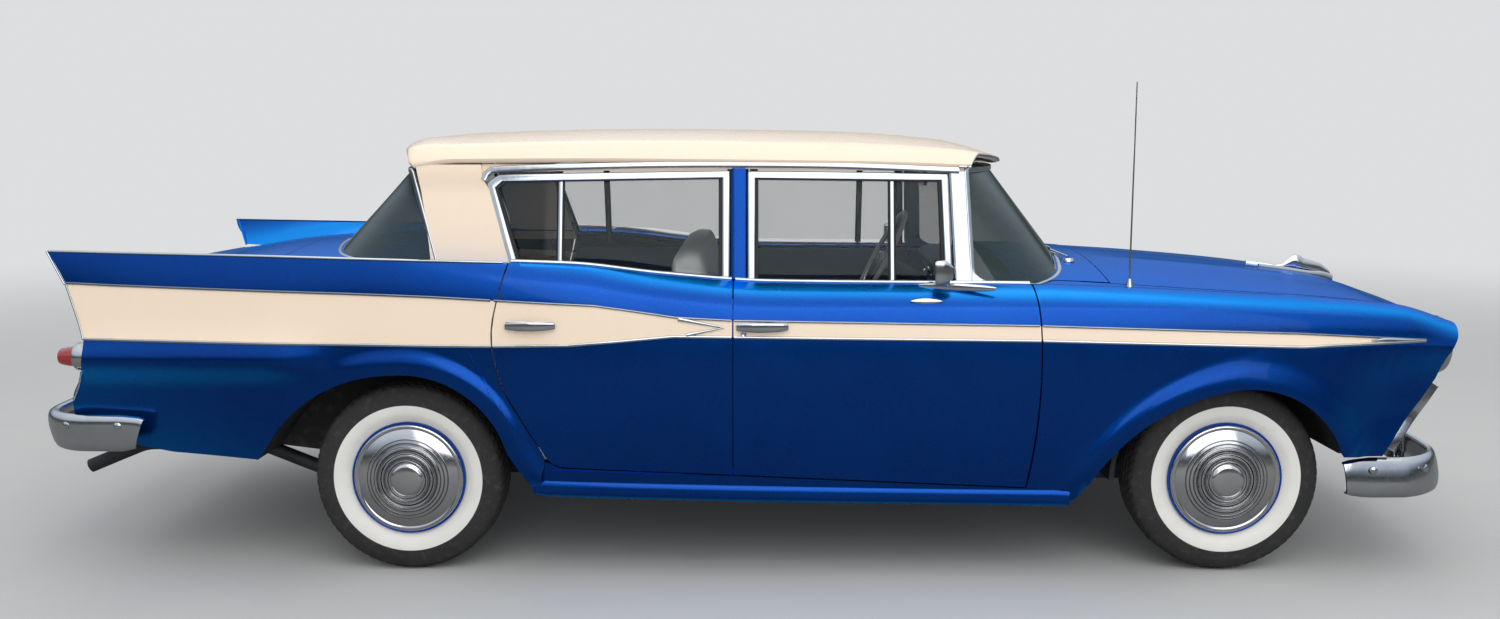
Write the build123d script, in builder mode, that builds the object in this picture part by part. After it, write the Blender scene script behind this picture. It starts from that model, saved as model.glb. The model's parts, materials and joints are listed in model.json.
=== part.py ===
"""A late 1950s four-door saloon with tail fins, as an assembly of its real pieces.

Millimetres. X points forward, Y to the car's left and Z up. The ground is Z = 0, and the origin is
under the middle of the car's length and width. "Right" pieces are on the -Y side.
"""

from build123d import *
import math
import os

os.makedirs("parts", exist_ok=True)

# Overall sizes and the running gear
OVERALL_LENGTH = 4854
WHEELBASE = 2743
REAR_AXLE_X = -1148
FRONT_AXLE_X = REAR_AXLE_X + WHEELBASE
TRACK_HALF = 735
TYRE_RADIUS = 322
KINGPIN_Y = 660

# Panels and clearances
SKIN = 22
PANEL_GAP = 5
DOOR_STEP = 26
DOOR_INNER_Y = 718
INNER_EDGE_Y = 660
POST_TOP_Z = 932
FLANGE_Y = 810

# Wheel houses
WHEELHOUSE_RADIUS = 378
WHEELHOUSE_WALL = 16
FRONT_HOUSE_Y = 474
REAR_HOUSE_Y = 604
HOUSE_OUTER_Y = 838

# The lower body's cross-sections. Each row is one station, with half widths and heights.
# x, floor_z, sill_y, low_y, low_z, high_y, high_z,
# top_y, top_z, shoulder_bulge, edge_y, edge_z, valley_bulge, crown_z
BODY_SECTIONS = [
    (-2345, 430, 770, 835, 797, 815, 984, 798, 1087, 2, 690, 962, -8, 962),
    (-2060, 415, 795, 853, 796, 835, 977, 809, 1081, 2, 696, 988, -8, 1012),
    (-1700, 390, 822, 874, 792, 858, 966, 822, 1074, 3, 704, 1020, -7, 1066),
    (-1150, 330, 850, 892, 786, 880, 947, 842, 1061, 6, 720, 1044, -3, 1088),
    (-600, 292, 875, 903, 790, 897, 918, 822, 1045, 14, 730, 1035, -2, 1070),
    (-280, 279, 882, 906, 803, 899, 886, 796, 1008, 20, 722, 1000, 1, 1052),
    (60, 271, 885, 907, 812, 900, 866, 777, 982, 25, 719, 974, 2, 1036),
    (940, 252, 880, 904, 803, 897, 850, 776, 973, 28, 700, 966, 3, 1042),
    (1600, 243, 868, 893, 788, 884, 831, 778, 947, 31, 662, 932, 4, 1000),
    (2150, 240, 855, 876, 778, 868, 813, 776, 908, 30, 645, 890, 5, 935),
    (2350, 240, 840, 858, 772, 852, 798, 770, 848, 16, 630, 834, 5, 872),
]
SILL_BULGE = 14

# The glasshouse in plan at two heights:
# height, front_x, corner_x, corner_y, tail_corner_x, tail_corner_y, tail_x, bow_share
GLASSHOUSE_PLANS = [
    (940, 1218, 745, 770, -1020, 775, -1665, 0.83),
    (1352, 905, 722, 690, -1140, 672, -1250, 0.58),
]
BOW_SHARE_Y = 0.66
FRAME_WALL = 30
GLASS_SET_IN = 10
GLASS = 5

# The roof's crown: x, crown_z, eave_z
ROOF_SECTIONS = [
    (-1300, 1390, 1344),
    (-1230, 1437, 1362),
    (-1150, 1460, 1369),
    (-1010, 1474, 1374),
    (-400, 1488, 1380),
    (300, 1479, 1378),
    (700, 1450, 1370),
    (980, 1362, 1340),
]
ROOF_BASE_Z = 1352
ROOF_HALF_WIDTH = 702
ROOF_EAVE_TURN = 92
ROOF_THICKNESS = 30
ROOF_PLAN = (940, 738, 702, -1146, 690, -1264, 0.57)
RAIL_POINTS = [(-930, 1345), (-130, 1375), (676, 1359)]
RAIL_SIZE = 14

# Door shut lines on the side view
DOOR_SPLIT_X = -55
FRONT_DOOR_EDGE = [(922, 985), (948, 805), (911, 312)]
DOOR_FOOT_Z = [355, 312]
REAR_DOOR_EDGE = [(-655, 378), (-812, 650), (-846, 800), (-782, 1075)]
REAR_DOOR_ROUNDS = [60, 260, 320]
DOOR_TOP_Z = 1075

# Door window frames and their openings on the side view
FRONT_FRAME = [(-7, 900), (-7, 1347), (664, 1339), (680, 900)]
FRONT_OPENING = [(17, 1004), (17, 1323), (641, 1316), (654, 1000)]
REAR_FRAME = [(-69, 900), (-69, 1347), (-845, 1336), (-886, 1308), (-770, 900)]
REAR_OPENING = [(-93, 1004), (-93, 1323), (-836, 1313), (-852, 1296), (-768, 1068), (-420, 1050)]
VENT_BAR = 15
FRONT_VENT_X = 476
REAR_VENT_X = -637

# Wheel openings, as x from the axle and height: a foot, an arc to the top, an arc down and a foot
FRONT_ARCH = [(-560, 200), (-462, 345), (-271, 539), (0, 642), (264, 559), (363, 396), (385, 200)]
REAR_ARCH = [(-570, 300), (-464, 437), (-278, 618), (-20, 688), (193, 636), (347, 423), (480, 220)]
FLARE_WIDTH = 62
FLARE_RISE = 15

# Hood and boot lid in plan
HOOD_REAR_X = 1236
HOOD_FRONT_X = 2272
HOOD_REAR_HALF = 645
HOOD_FRONT_HALF = 596
LID_FRONT_X = -1640
LID_HALF = 655
LID_FOOT_Z = 640

ORNAMENT_OUTLINE = [(2020, 976), (2180, 992), (2272, 968), (2208, 958), (2196, 912), (2162, 914), (2156, 962)]
ORNAMENT_HALF = 9

# Front and tail outlines on the side view
NOSE = [
    (2200, 1100),
    (2336, 846),
    (2322, 800),
    (2279, 722),
    (2262, 670),
    (2164, 530),
    (2090, 415),
    (2090, 200),
]
TAIL = [(-2328, 1094), (-2260, 981), (-2217, 859), (-2198, 800), (-2204, 700), (-2262, 596), (-2262, 530)]
QUARTER_FOOT = [(-2120, 442), (-2035, 424), (-1873, 395), (-1690, 381), (-1652, 379)]
TAIL_PANEL_WALL = 25
NOSE_WALL = 24

# Bumpers in plan: centre_x, bend_x, bend_y, side_y, end_x, then bottom_z and top_z
BUMPER_WALL = 42
BUMPER_TURN = 200
FRONT_BUMPER = (OVERALL_LENGTH / 2, 2392, 700, 880, 1966, 270, 405)
REAR_BUMPER = (OVERALL_LENGTH / 2, 2398, 700, 880, 2000, 420, 548)
PLATE_HOLE_SPACING = 177.8
PLATE_HOLE_RADIUS = 3.6

# Lamps
HEADLAMP_Z = 768
HEADLAMP_Y = [738, 556]
HEADLAMP_X = [2306, 2318]
BEZEL_RADIUS = 88
LENS_RADIUS = 73
LAMP_DEPTH = 70
TAIL_LAMP_Y = 812
TAIL_LAMP_Z = 735
TAIL_LAMP_RADIUS = 33
TAIL_LAMP_ROOT = -2202
TAIL_LAMP_RIM = -2242
TAIL_LAMP_TIP = -2299
TAIL_LAMP_BULGE = [(TAIL_LAMP_ROOT, TAIL_LAMP_Y, TAIL_LAMP_RADIUS + 8), (-1850, 834, 42), (-1560, 850, 40)]
ANTENNA_FOOT = (1272, -740, 961.5)

# Grille
GRILLE_TOP = (2268, 664)
GRILLE_FOOT = (2112, 440)
GRILLE_HALF = 780
GRILLE_BOW = 46
GRILLE_BARS = 8
GRILLE_POSTS = 13
GRILLE_BAR_HEIGHT = 9
GRILLE_BAR_DEPTH = 26

# The floor on the side view, from the toe board to the boot
FLOOR_LINE = [
    (1011, 560),
    (960, 330),
    (560, 292),
    (-500, 300),
    (-560, 372),
    (-940, 392),
    (-1010, 575),
    (-1320, 575),
    (-1420, 480),
    (-2150, 488),
]
FLOOR_THICKNESS = 14
TUNNEL_TOP_Z = 406
TUNNEL_REAR_X = -640

# Seats, dash and steering
FRONT_CUSHION = [(430, 410), (446, 545), (405, 592), (-50, 560), (-70, 410)]
FRONT_BACK = [(-72, 440), (-20, 590), (-205, 1010), (-300, 1016), (-336, 975), (-250, 440)]
REAR_CUSHION = [(-440, 410), (-424, 540), (-465, 586), (-900, 555), (-920, 430), (-900, 410)]
REAR_BACK = [(-920, 440), (-880, 585), (-1040, 1005), (-1090, 1010), (-1150, 610), (-996, 606)]
SEAT_HALF = 640
STEERING_CENTRE = (540, 360, 955)
STEERING_RADIUS = 212
STEERING_RIM = 11
COLUMN_SLOPE = 28
HUB_LENGTH = 46

DASH_OUTLINE = [(1008, 968), (770, 992), (722, 968), (716, 900), (748, 812), (800, 760), (1008, 760)]

# Drive line
ENGINE_SIZE = (700, 560, 470)
ENGINE_CENTRE = (1480, 0, 575)
AXLE_TUBE_RADIUS = 38
PIPE_Z = 230
PIPE_RADIUS = 24
PIPE_ROUTE = (
    (-120, -300, PIPE_Z),
    (-1050, -300, PIPE_Z),
    (-1480, -510, 252),
    (-1760, -545, 380),
    (-2150, -560, 380),
    (-2345, -575, 300),
)
PIPE_BENDS = (300, 400, 250, 160)
SILENCER_RADIUS = 50

# Wheels and tyres in section, as distance outwards from the wheel's middle and radius
TYRE_SIDE = [(72, 181), (76, 197), (96, 246), (83, 296), (76, 309), (62, 316)]
RIM_PROFILE = [(-84, 195), (-78, 195), (-74, 180), (74, 180), (78, 195), (84, 195), (84, 168), (-84, 168)]
DISC_PROFILE = [(-20, 16), (-20, 169), (-10, 169), (-10, 140), (44, 140), (44, 130), (-8, 130), (-8, 16)]
CAP_PROFILE = [
    (-86, 150),
    (-96, 128),
    (-100, 90),
    (-100, 62),
    (-112, 56),
    (-115, 0),
    (-110, 0),
    (-106, 50),
    (-90, 62),
    (-80, 150),
]


def bulged(start, end, bulge):
    """A point beside the middle of a chord, bulge to the right of the way from start to end."""
    dx = end[0] - start[0]
    dy = end[1] - start[1]
    length = math.hypot(dx, dy)
    return ((start[0] + end[0]) / 2 + dy / length * bulge, (start[1] + end[1]) / 2 - dx / length * bulge)


def across(x):
    """The plane across the car at x, with its own X to the car's right and its own Y up."""
    return Plane(origin=(x, 0, 0), x_dir=(0, -1, 0), z_dir=(-1, 0, 0))


def half_body(inset):
    """The right half of the lower body as one solid, each section drawn inset inside its outer surface."""
    with BuildPart() as form:
        for section in BODY_SECTIONS:
            x, floor, sill_y, low_y, low_z, high_y, high_z = section[:7]
            top_y, top_z, bulge, edge_y, edge_z, valley, crown = section[7:]
            foot = (sill_y - inset, floor + inset)
            low = (low_y - inset, low_z)
            high = (high_y - inset, high_z)
            top = (top_y - inset, top_z - inset)
            edge = (edge_y - inset, edge_z - inset)
            middle = (0, crown - inset)
            crown_rise = middle[1] - edge[1]
            with BuildSketch(across(x)):
                with BuildLine():
                    Line((0, floor + inset), foot)
                    ThreePointArc(foot, bulged(foot, low, SILL_BULGE), low)
                    Line(low, high)
                    ThreePointArc(high, bulged(high, top, bulge), top)
                    ThreePointArc(top, bulged(top, edge, valley), edge)
                    if abs(crown_rise) < 1:
                        ThreePointArc(edge, (edge[0] / 2, edge[1] + 1.5), middle)
                    else:
                        ThreePointArc(edge, (edge[0] / 2, middle[1] - crown_rise / 4), middle)
                    Line(middle, (0, floor + inset))
                make_face()
        loft()
    return form.part


def bowed_plan(front_x, corner_x, corner_y, tail_corner_x, tail_corner_y, tail_x, bow_share):
    """Draws the closed plan of the glasshouse in the current line builder."""
    bow_y = BOW_SHARE_Y * corner_y
    bow_x = corner_x + bow_share * (front_x - corner_x)
    tail_bow_y = BOW_SHARE_Y * tail_corner_y
    tail_bow_x = tail_corner_x + bow_share * (tail_x - tail_corner_x)
    screen = ThreePointArc((bow_x, -bow_y), (front_x, 0), (bow_x, bow_y))
    TangentArc(screen @ 1, (corner_x, corner_y), tangent=screen % 1)
    Line((corner_x, corner_y), (tail_corner_x, tail_corner_y))
    rear_screen = ThreePointArc((tail_bow_x, tail_bow_y), (tail_x, 0), (tail_bow_x, -tail_bow_y))
    TangentArc(rear_screen @ 0, (tail_corner_x, tail_corner_y), tangent=(rear_screen % 0) * -1)
    TangentArc(rear_screen @ 1, (tail_corner_x, -tail_corner_y), tangent=rear_screen % 1)
    Line((tail_corner_x, -tail_corner_y), (corner_x, -corner_y))
    TangentArc(screen @ 0, (corner_x, -corner_y), tangent=(screen % 0) * -1)


def glasshouse(inset):
    """The cabin's upper part as one solid, drawn inset inside its outer surface."""
    with BuildPart() as form:
        for height, *plan in GLASSHOUSE_PLANS:
            front_x, corner_x, corner_y, tail_corner_x, tail_corner_y, tail_x, bow_share = plan
            with BuildSketch(Plane.XY.offset(height)):
                with BuildLine():
                    bowed_plan(
                        front_x - inset,
                        corner_x,
                        corner_y - inset,
                        tail_corner_x,
                        tail_corner_y - inset,
                        tail_x + inset,
                        bow_share,
                    )
                make_face()
        loft(ruled=True)
    return form.part


def roof_form(inset):
    """The roof as one solid: crowned sections along the car, trimmed to its bowed plan."""
    front_x, corner_x, corner_y, tail_corner_x, tail_corner_y, tail_x, bow_share = ROOF_PLAN
    with BuildPart() as form:
        for x, crown_z, eave_z in ROOF_SECTIONS:
            half = ROOF_HALF_WIDTH - inset
            eave = (half, eave_z - inset)
            turn = (half - ROOF_EAVE_TURN, eave_z - inset + 0.62 * (crown_z - eave_z))
            far_eave = (-eave[0], eave[1])
            far_turn = (-turn[0], turn[1])
            with BuildSketch(across(x)):
                with BuildLine():
                    Polyline(far_eave, (-half, ROOF_BASE_Z - 80), (half, ROOF_BASE_Z - 80), eave)
                    ThreePointArc(eave, bulged(eave, turn, 13), turn)
                    ThreePointArc(turn, (0, crown_z - inset), far_turn)
                    ThreePointArc(far_turn, bulged(far_turn, far_eave, 13), far_eave)
                make_face()
        loft()
        with BuildSketch(Plane.XY.offset(ROOF_BASE_Z)):
            with BuildLine():
                bowed_plan(
                    front_x - inset,
                    corner_x - inset / 2,
                    corner_y - inset,
                    tail_corner_x + inset / 2,
                    tail_corner_y - inset,
                    tail_x + inset,
                    bow_share,
                )
            make_face()
        extrude(amount=200, mode=Mode.INTERSECT)
    return form.part


def side_slab(outline, near=0, far=1000, grow=0):
    """A slab with its outline on the side view, between two distances to the car's right."""
    with BuildPart() as slab:
        with BuildSketch(Plane.XZ.offset(near)):
            with BuildLine():
                Polyline(*outline, close=True)
            make_face()
            if grow:
                offset(amount=grow, kind=Kind.INTERSECTION)
        extrude(amount=far - near)
    return slab.part


def arch_slab(arch, axle_x, grow=0):
    """The space of one wheel opening across the right side, grown outwards on the side view."""
    foot, start, rise, top, fall, end, last = [(axle_x + x, z) for x, z in arch]
    with BuildPart() as slab:
        with BuildSketch(Plane.XZ.offset(HOUSE_OUTER_Y - 130)):
            with BuildLine():
                Line(foot, start)
                ThreePointArc(start, rise, top)
                ThreePointArc(top, fall, end)
                Line(end, last)
                Polyline(last, (last[0], 0), (foot[0], 0), foot)
            make_face()
            if grow:
                offset(amount=grow, kind=Kind.INTERSECTION)
        extrude(amount=300)
    return slab.part


def block(low, high):
    """A plain box between two corners."""
    with BuildPart() as box:
        with Locations([((low[0] + high[0]) / 2, (low[1] + high[1]) / 2, (low[2] + high[2]) / 2)]):
            Box(high[0] - low[0], high[1] - low[1], high[2] - low[2])
    return box.part


def bar(start, end, radius, end_radius=None):
    """A round bar between two points, tapered when it has an end radius."""
    way = Vector(*end) - Vector(*start)
    with BuildPart() as rod:
        with BuildSketch(Plane(origin=start, z_dir=way)):
            Circle(radius)
        with BuildSketch(Plane(origin=end, z_dir=way)):
            Circle(end_radius or radius)
        loft()
    return rod.part


def both_sides(piece):
    """A piece and its mirror image on the car's left, as one part."""
    with BuildPart() as pair:
        add(piece)
        mirror(piece, about=Plane.XZ)
    return pair.part


def save(piece, name):
    """Labels a finished piece and writes it as the node of that name."""
    piece.label = name
    export_step(piece, f"parts/{name}.step")


def save_pair(piece, name):
    """Writes a right-hand piece and its mirror image on the left."""
    save(piece, f"{name}_right")
    save(piece.mirror(Plane.XZ), f"{name}_left")


body_outer = half_body(0)
body_inner = half_body(SKIN)
cabin_outer = glasshouse(0)
cabin_inner = glasshouse(FRAME_WALL)
glass_outer = glasshouse(GLASS_SET_IN)
glass_inner = glasshouse(GLASS_SET_IN + GLASS)

with BuildPart() as body_skin:
    add(body_outer)
    add(body_inner, mode=Mode.SUBTRACT)

with BuildPart() as frame_wall:
    add(cabin_outer)
    add(cabin_inner, mode=Mode.SUBTRACT)

with BuildPart() as glass_wall:
    add(glass_outer)
    add(glass_inner, mode=Mode.SUBTRACT)


def front_door_outline(inset, foot_inset):
    """The front door's shut line below the glass, drawn inset inside it."""
    top, middle, foot = FRONT_DOOR_EDGE
    rear_x = DOOR_SPLIT_X + PANEL_GAP / 2 + inset
    with BuildPart() as slab:
        with BuildSketch(Plane.XZ.offset(DOOR_INNER_Y)):
            with BuildLine():
                high = (top[0] - inset, DOOR_TOP_Z)
                low = (foot[0] - inset, foot[1] + foot_inset)
                ThreePointArc(high, (middle[0] - inset, middle[1]), low)
                Polyline(low, (rear_x, DOOR_FOOT_Z[0] + foot_inset), (rear_x, DOOR_TOP_Z), high)
            make_face()
        extrude(amount=1000 - DOOR_INNER_Y)
    return slab.part


def rear_door_outline(inset, foot_inset):
    """The rear door's shut line below the glass, drawn inset inside it."""
    front_x = DOOR_SPLIT_X - PANEL_GAP / 2 - inset
    with BuildPart() as slab:
        with BuildSketch(Plane.XZ.offset(DOOR_INNER_Y)):
            with BuildLine():
                corner, bend, waist, top = [(x + inset, z) for x, z in REAR_DOOR_EDGE]
                FilletPolyline(
                    (front_x, DOOR_TOP_Z),
                    (front_x, DOOR_FOOT_Z[0] + foot_inset),
                    (corner[0], corner[1] + foot_inset),
                    bend,
                    waist,
                    top,
                    radius=[0.01, *REAR_DOOR_ROUNDS],
                )
                Line(top, (front_x, DOOR_TOP_Z))
            make_face()
        extrude(amount=1000 - DOOR_INNER_Y)
    return slab.part


with BuildPart() as body_raised:
    add(half_body(-FLARE_RISE))
    add(body_inner, mode=Mode.SUBTRACT)

body_core = half_body(SKIN + PANEL_GAP + 1)


def flare(arch, axle_x):
    """The raised lip round one wheel opening."""
    with BuildPart() as lip:
        add(body_raised.part)
        add(arch_slab(arch, axle_x, FLARE_WIDTH), mode=Mode.INTERSECT)
        add(block((axle_x - 700, -1000, 0), (axle_x + 700, -HOUSE_OUTER_Y + 12, 800)), mode=Mode.INTERSECT)
    return lip.part


def wheelhouse(axle_x, inner_y):
    """The half-round inner arch over one wheel, out to the side panel."""
    with BuildPart() as house:
        with BuildSketch(Plane.XZ.offset(inner_y)):
            with Locations((axle_x, TYRE_RADIUS)):
                Circle(WHEELHOUSE_RADIUS + WHEELHOUSE_WALL)
                Circle(WHEELHOUSE_RADIUS, mode=Mode.SUBTRACT)
            with Locations((axle_x, TYRE_RADIUS - 500)):
                Rectangle(1000, 1000, mode=Mode.SUBTRACT)
        extrude(amount=HOUSE_OUTER_Y - inner_y)
        add(body_inner, mode=Mode.INTERSECT)
    return house.part


def handle(rear_x, front_x, height, surface_y):
    """A teardrop pull handle, thin at its rear end, its back sunk into the door's skin."""
    middle_x = rear_x + 0.62 * (front_x - rear_x)
    with BuildPart() as pull:
        with BuildSketch(Plane.XY.offset(height - 11)):
            with BuildLine():
                Line((rear_x, -surface_y + 14), (front_x, -surface_y + 14))
                Line((front_x, -surface_y + 14), (front_x, -surface_y - 8))
                crest = (middle_x, -surface_y - 27)
                ThreePointArc((front_x, -surface_y - 8), crest, (rear_x, -surface_y - 3))
                Line((rear_x, -surface_y - 3), (rear_x, -surface_y + 14))
            make_face()
        extrude(amount=22)
    return pull.part


# The right front door with its window frame, vent bar, mirror and handle
front_opening = side_slab(FRONT_OPENING)
front_vent_bar = block((FRONT_VENT_X - VENT_BAR / 2, -1000, 900), (FRONT_VENT_X + VENT_BAR / 2, 0, 1345))

with BuildPart() as front_frame:
    add(frame_wall.part)
    add(side_slab(FRONT_FRAME), mode=Mode.INTERSECT)

with BuildPart() as front_bar:
    add(front_frame.part)
    add(front_vent_bar, mode=Mode.INTERSECT)

# The front door's rear edge falls back inboard, as it swings past the rear door's edge
with BuildPart() as rear_edge_fall:
    with BuildSketch():
        with BuildLine():
            Polyline((-60, -888), (-52.5, -888), (-34, -710), (-60, -710), close=True)
        make_face()
    extrude(amount=1100)

with BuildPart() as front_door:
    add(body_skin.part)
    add(front_door_outline(0, 0), mode=Mode.INTERSECT)
    add(rear_edge_fall.part, mode=Mode.SUBTRACT)
    add(front_frame.part)
    add(front_opening, mode=Mode.SUBTRACT)
    add(front_bar.part)

with BuildPart() as front_door_box:
    add(body_inner)
    add(front_door_outline(DOOR_STEP, DOOR_STEP), mode=Mode.INTERSECT)
    add(block((DOOR_SPLIT_X - 10, -1000, 0), (DOOR_SPLIT_X + 40, 0, 1200)), mode=Mode.SUBTRACT)

with BuildPart() as front_door_whole:
    add(front_door.part)
    add(front_door_box.part)
    add(handle(-40, 124, 849, 900))
    add(bar((650, -772, 950), (650, -828, 1012), 9))
    add(bar((622, -836, 1018), (800, -830, 972), 32, 8))

save_pair(front_door_whole.part, "front_door")

with BuildPart() as front_door_glass:
    add(glass_wall.part)
    add(side_slab(FRONT_OPENING, grow=-0.5), mode=Mode.INTERSECT)
    add(block((FRONT_VENT_X - VENT_BAR / 2 - 0.5, -1000, 900), (FRONT_VENT_X + VENT_BAR / 2 + 0.5, 0, 1345)),
        mode=Mode.SUBTRACT)

save_pair(front_door_glass.part, "front_door_glass")

# The right rear door
rear_opening = side_slab(REAR_OPENING)

with BuildPart() as rear_frame:
    add(frame_wall.part)
    add(side_slab(REAR_FRAME), mode=Mode.INTERSECT)

with BuildPart() as rear_bar:
    add(rear_frame.part)
    add(block((REAR_VENT_X - VENT_BAR / 2, -1000, 900), (REAR_VENT_X + VENT_BAR / 2, 0, 1345)),
        mode=Mode.INTERSECT)

with BuildPart() as rear_door:
    add(body_skin.part)
    add(rear_door_outline(0, 0), mode=Mode.INTERSECT)
    add(rear_frame.part)
    add(rear_opening, mode=Mode.SUBTRACT)
    add(rear_bar.part)

with BuildPart() as rear_door_box:
    add(body_inner)
    add(rear_door_outline(DOOR_STEP, DOOR_STEP), mode=Mode.INTERSECT)

with BuildPart() as rear_door_whole:
    add(rear_door.part)
    add(rear_door_box.part)
    add(handle(-793, -633, 852, 898))

save_pair(rear_door_whole.part, "rear_door")

with BuildPart() as rear_door_glass:
    add(glass_wall.part)
    add(side_slab(REAR_OPENING, grow=-0.5), mode=Mode.INTERSECT)
    add(block((REAR_VENT_X - VENT_BAR / 2 - 0.5, -1000, 900), (REAR_VENT_X + VENT_BAR / 2 + 0.5, 0, 1345)),
        mode=Mode.SUBTRACT)

save_pair(rear_door_glass.part, "rear_door_glass")

# Sills, hinge posts and centre posts, one solid on each side
FRONT_EDGE_FOOT = FRONT_DOOR_EDGE[2]
REAR_EDGE_FOOT = REAR_DOOR_EDGE[0]

with BuildPart() as side_frame:
    add(body_outer)
    add(
        side_slab(
            [
                (-700, 200),
                (-700, 260),
                (REAR_EDGE_FOOT[0], DOOR_FOOT_Z[0] + 10),
                (DOOR_SPLIT_X, DOOR_FOOT_Z[0] - PANEL_GAP),
                (FRONT_EDGE_FOOT[0] + PANEL_GAP, DOOR_FOOT_Z[1] - PANEL_GAP),
                (1030, DOOR_FOOT_Z[1] - PANEL_GAP),
                (1030, 200),
            ],
            INNER_EDGE_Y,
        ),
        mode=Mode.INTERSECT,
    )

with BuildPart() as post_shape:
    add(side_slab([(958, 290), (1010, 290), (1010, POST_TOP_Z), (958, POST_TOP_Z)], DOOR_INNER_Y + 4))
    add(side_slab([(-78, 330), (-38, 330), (-38, POST_TOP_Z), (-78, POST_TOP_Z)], DOOR_INNER_Y + 4))

with BuildPart() as posts:
    add(body_core)
    add(post_shape.part, mode=Mode.INTERSECT)

with BuildPart() as side_frame_whole:
    add(side_frame.part)
    add(posts.part)
    add(block((958, -760, 270), (1010, -INNER_EDGE_Y, POST_TOP_Z)))
    add(block((-78, -760, 300), (-38, -INNER_EDGE_Y - 20, POST_TOP_Z)))
    add(block((690, -DOOR_INNER_Y + PANEL_GAP, 905), (1010, -640, 960)))

with BuildPart() as side_frames:
    add(both_sides(side_frame_whole.part))
save(side_frames.part, "side_frames")

# The roof with its pillars and drip rails
with BuildPart() as roof_shell:
    add(roof_form(0))
    add(roof_form(ROOF_THICKNESS), mode=Mode.SUBTRACT)

with BuildPart() as pillars:
    add(frame_wall.part)
    add(block((-3000, -1000, 0), (3000, 0, 2000)), mode=Mode.INTERSECT)
    add(block((-78, -900, 900), (3000, 0, 984)), mode=Mode.SUBTRACT)
    add(body_outer, mode=Mode.SUBTRACT)
    add(side_slab([(738, 0), (738, 984), (724, 1336), (2000, 1336), (2000, 0)], 0), mode=Mode.SUBTRACT)
    add(side_slab([(-12, 0), (-12, 1353), (670, 1345), (686, 980), (686, 0)], 0), mode=Mode.SUBTRACT)
    add(side_slab([(-62, 0), (-62, 1353), (-850, 1342), (-900, 1312), (-784, 900), (-784, 0)]),
        mode=Mode.SUBTRACT)
    add(side_slab([(-19, 0), (-19, 1353), (0, 1353), (0, 0)], 0), mode=Mode.SUBTRACT)
    add(side_slab([(-1060, 900), (-1085, 1177), (-1118, 1336), (-2000, 1336), (-2000, 900)]),
        mode=Mode.SUBTRACT)

with BuildPart() as drip_rail:
    with BuildSketch(Plane.XZ.offset(692)):
        with BuildLine():
            lower = ThreePointArc(*RAIL_POINTS)
            upper = ThreePointArc(*[(x, z + RAIL_SIZE) for x, z in RAIL_POINTS])
            Line(lower @ 0, upper @ 0)
            Line(lower @ 1, upper @ 1)
        make_face()
    extrude(amount=RAIL_SIZE + 6)

with BuildPart() as roof_right:
    add(pillars.part)
    add(block((690, -752, 984), (900, -650, 990)))
    add(block((690, -DOOR_INNER_Y + PANEL_GAP, 960), (900, -650, 990)))
    add(drip_rail.part)

with BuildPart() as roof:
    add(both_sides(roof_right.part))
    add(roof_shell.part)
save(roof.part, "roof")

# The curved windshield and rear window
with BuildPart() as windshield:
    add(glass_wall.part)
    add(side_slab([(740, 991), (725, 1335), (2000, 1335), (2000, 991)], -1000), mode=Mode.INTERSECT)
    add(both_sides(body_outer), mode=Mode.SUBTRACT)
save(windshield.part, "windshield")

with BuildPart() as rear_window:
    add(glass_wall.part)
    add(side_slab([(-1061.5, 900), (-1086.5, 1177), (-1119.5, 1335), (-2000, 1335), (-2000, 900)], -1000),
        mode=Mode.INTERSECT)
    add(both_sides(body_outer), mode=Mode.SUBTRACT)
save(rear_window.part, "rear_window")

# Quarter panels with fins, flares, rear wheelhouses and lamp bulges
lid_edge = LID_HALF + PANEL_GAP
tail_cut = [*TAIL, (TAIL[-1][0], 380), (-2600, 380), (-2600, 1300), (TAIL[0][0], 1300)]
rear_shut = [(x - PANEL_GAP, z) for x, z in REAR_DOOR_EDGE]

with BuildPart() as quarter_shape:
    add(side_slab([(-2400, 300), (-2400, 1200), (-700, 1200), (-600, 1200), (-600, 300)], lid_edge))
    add(rear_door_outline(-PANEL_GAP, -PANEL_GAP), mode=Mode.SUBTRACT)
    add(block((-830, -1000, DOOR_TOP_Z - 140), (0, 0, 1300)), mode=Mode.SUBTRACT)
    add(block((-690, -1000, 0), (0, 0, 1300)), mode=Mode.SUBTRACT)
    add(side_slab(tail_cut), mode=Mode.SUBTRACT)
    add(arch_slab(REAR_ARCH, REAR_AXLE_X), mode=Mode.SUBTRACT)
    add(side_slab([(-2600, 0), (-2600, 470), *QUARTER_FOOT, (-1652, 0)]), mode=Mode.SUBTRACT)
    add(block((-1700, -FLANGE_Y + 20, 0), (-600, 0, 440)), mode=Mode.SUBTRACT)

with BuildPart() as lamp_bulge:
    for x, y, radius in TAIL_LAMP_BULGE:
        with BuildSketch(Plane.YZ.offset(x)):
            with Locations((-y, TAIL_LAMP_Z + (x - TAIL_LAMP_ROOT) * 0.012)):
                Circle(radius)
    loft()

with BuildPart() as quarter_panel:
    add(body_skin.part)
    add(flare(REAR_ARCH, REAR_AXLE_X))
    add(lamp_bulge.part)
    add(quarter_shape.part, mode=Mode.INTERSECT)
    add(wheelhouse(REAR_AXLE_X, REAR_HOUSE_Y))
    add(block((-1640, -860, 0), (-1450, 0, 386)), mode=Mode.SUBTRACT)
save_pair(quarter_panel.part, "quarter_panel")

# The deck between the rear window and the boot lid, and the boot lid
with BuildPart() as rear_deck:
    add(body_skin.part)
    add(block((LID_FRONT_X + PANEL_GAP, -LID_HALF, 900), (-1010, 0, 1200)), mode=Mode.INTERSECT)

with BuildPart() as rear_deck_whole:
    add(both_sides(rear_deck.part))
save(rear_deck_whole.part, "rear_deck")

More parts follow.
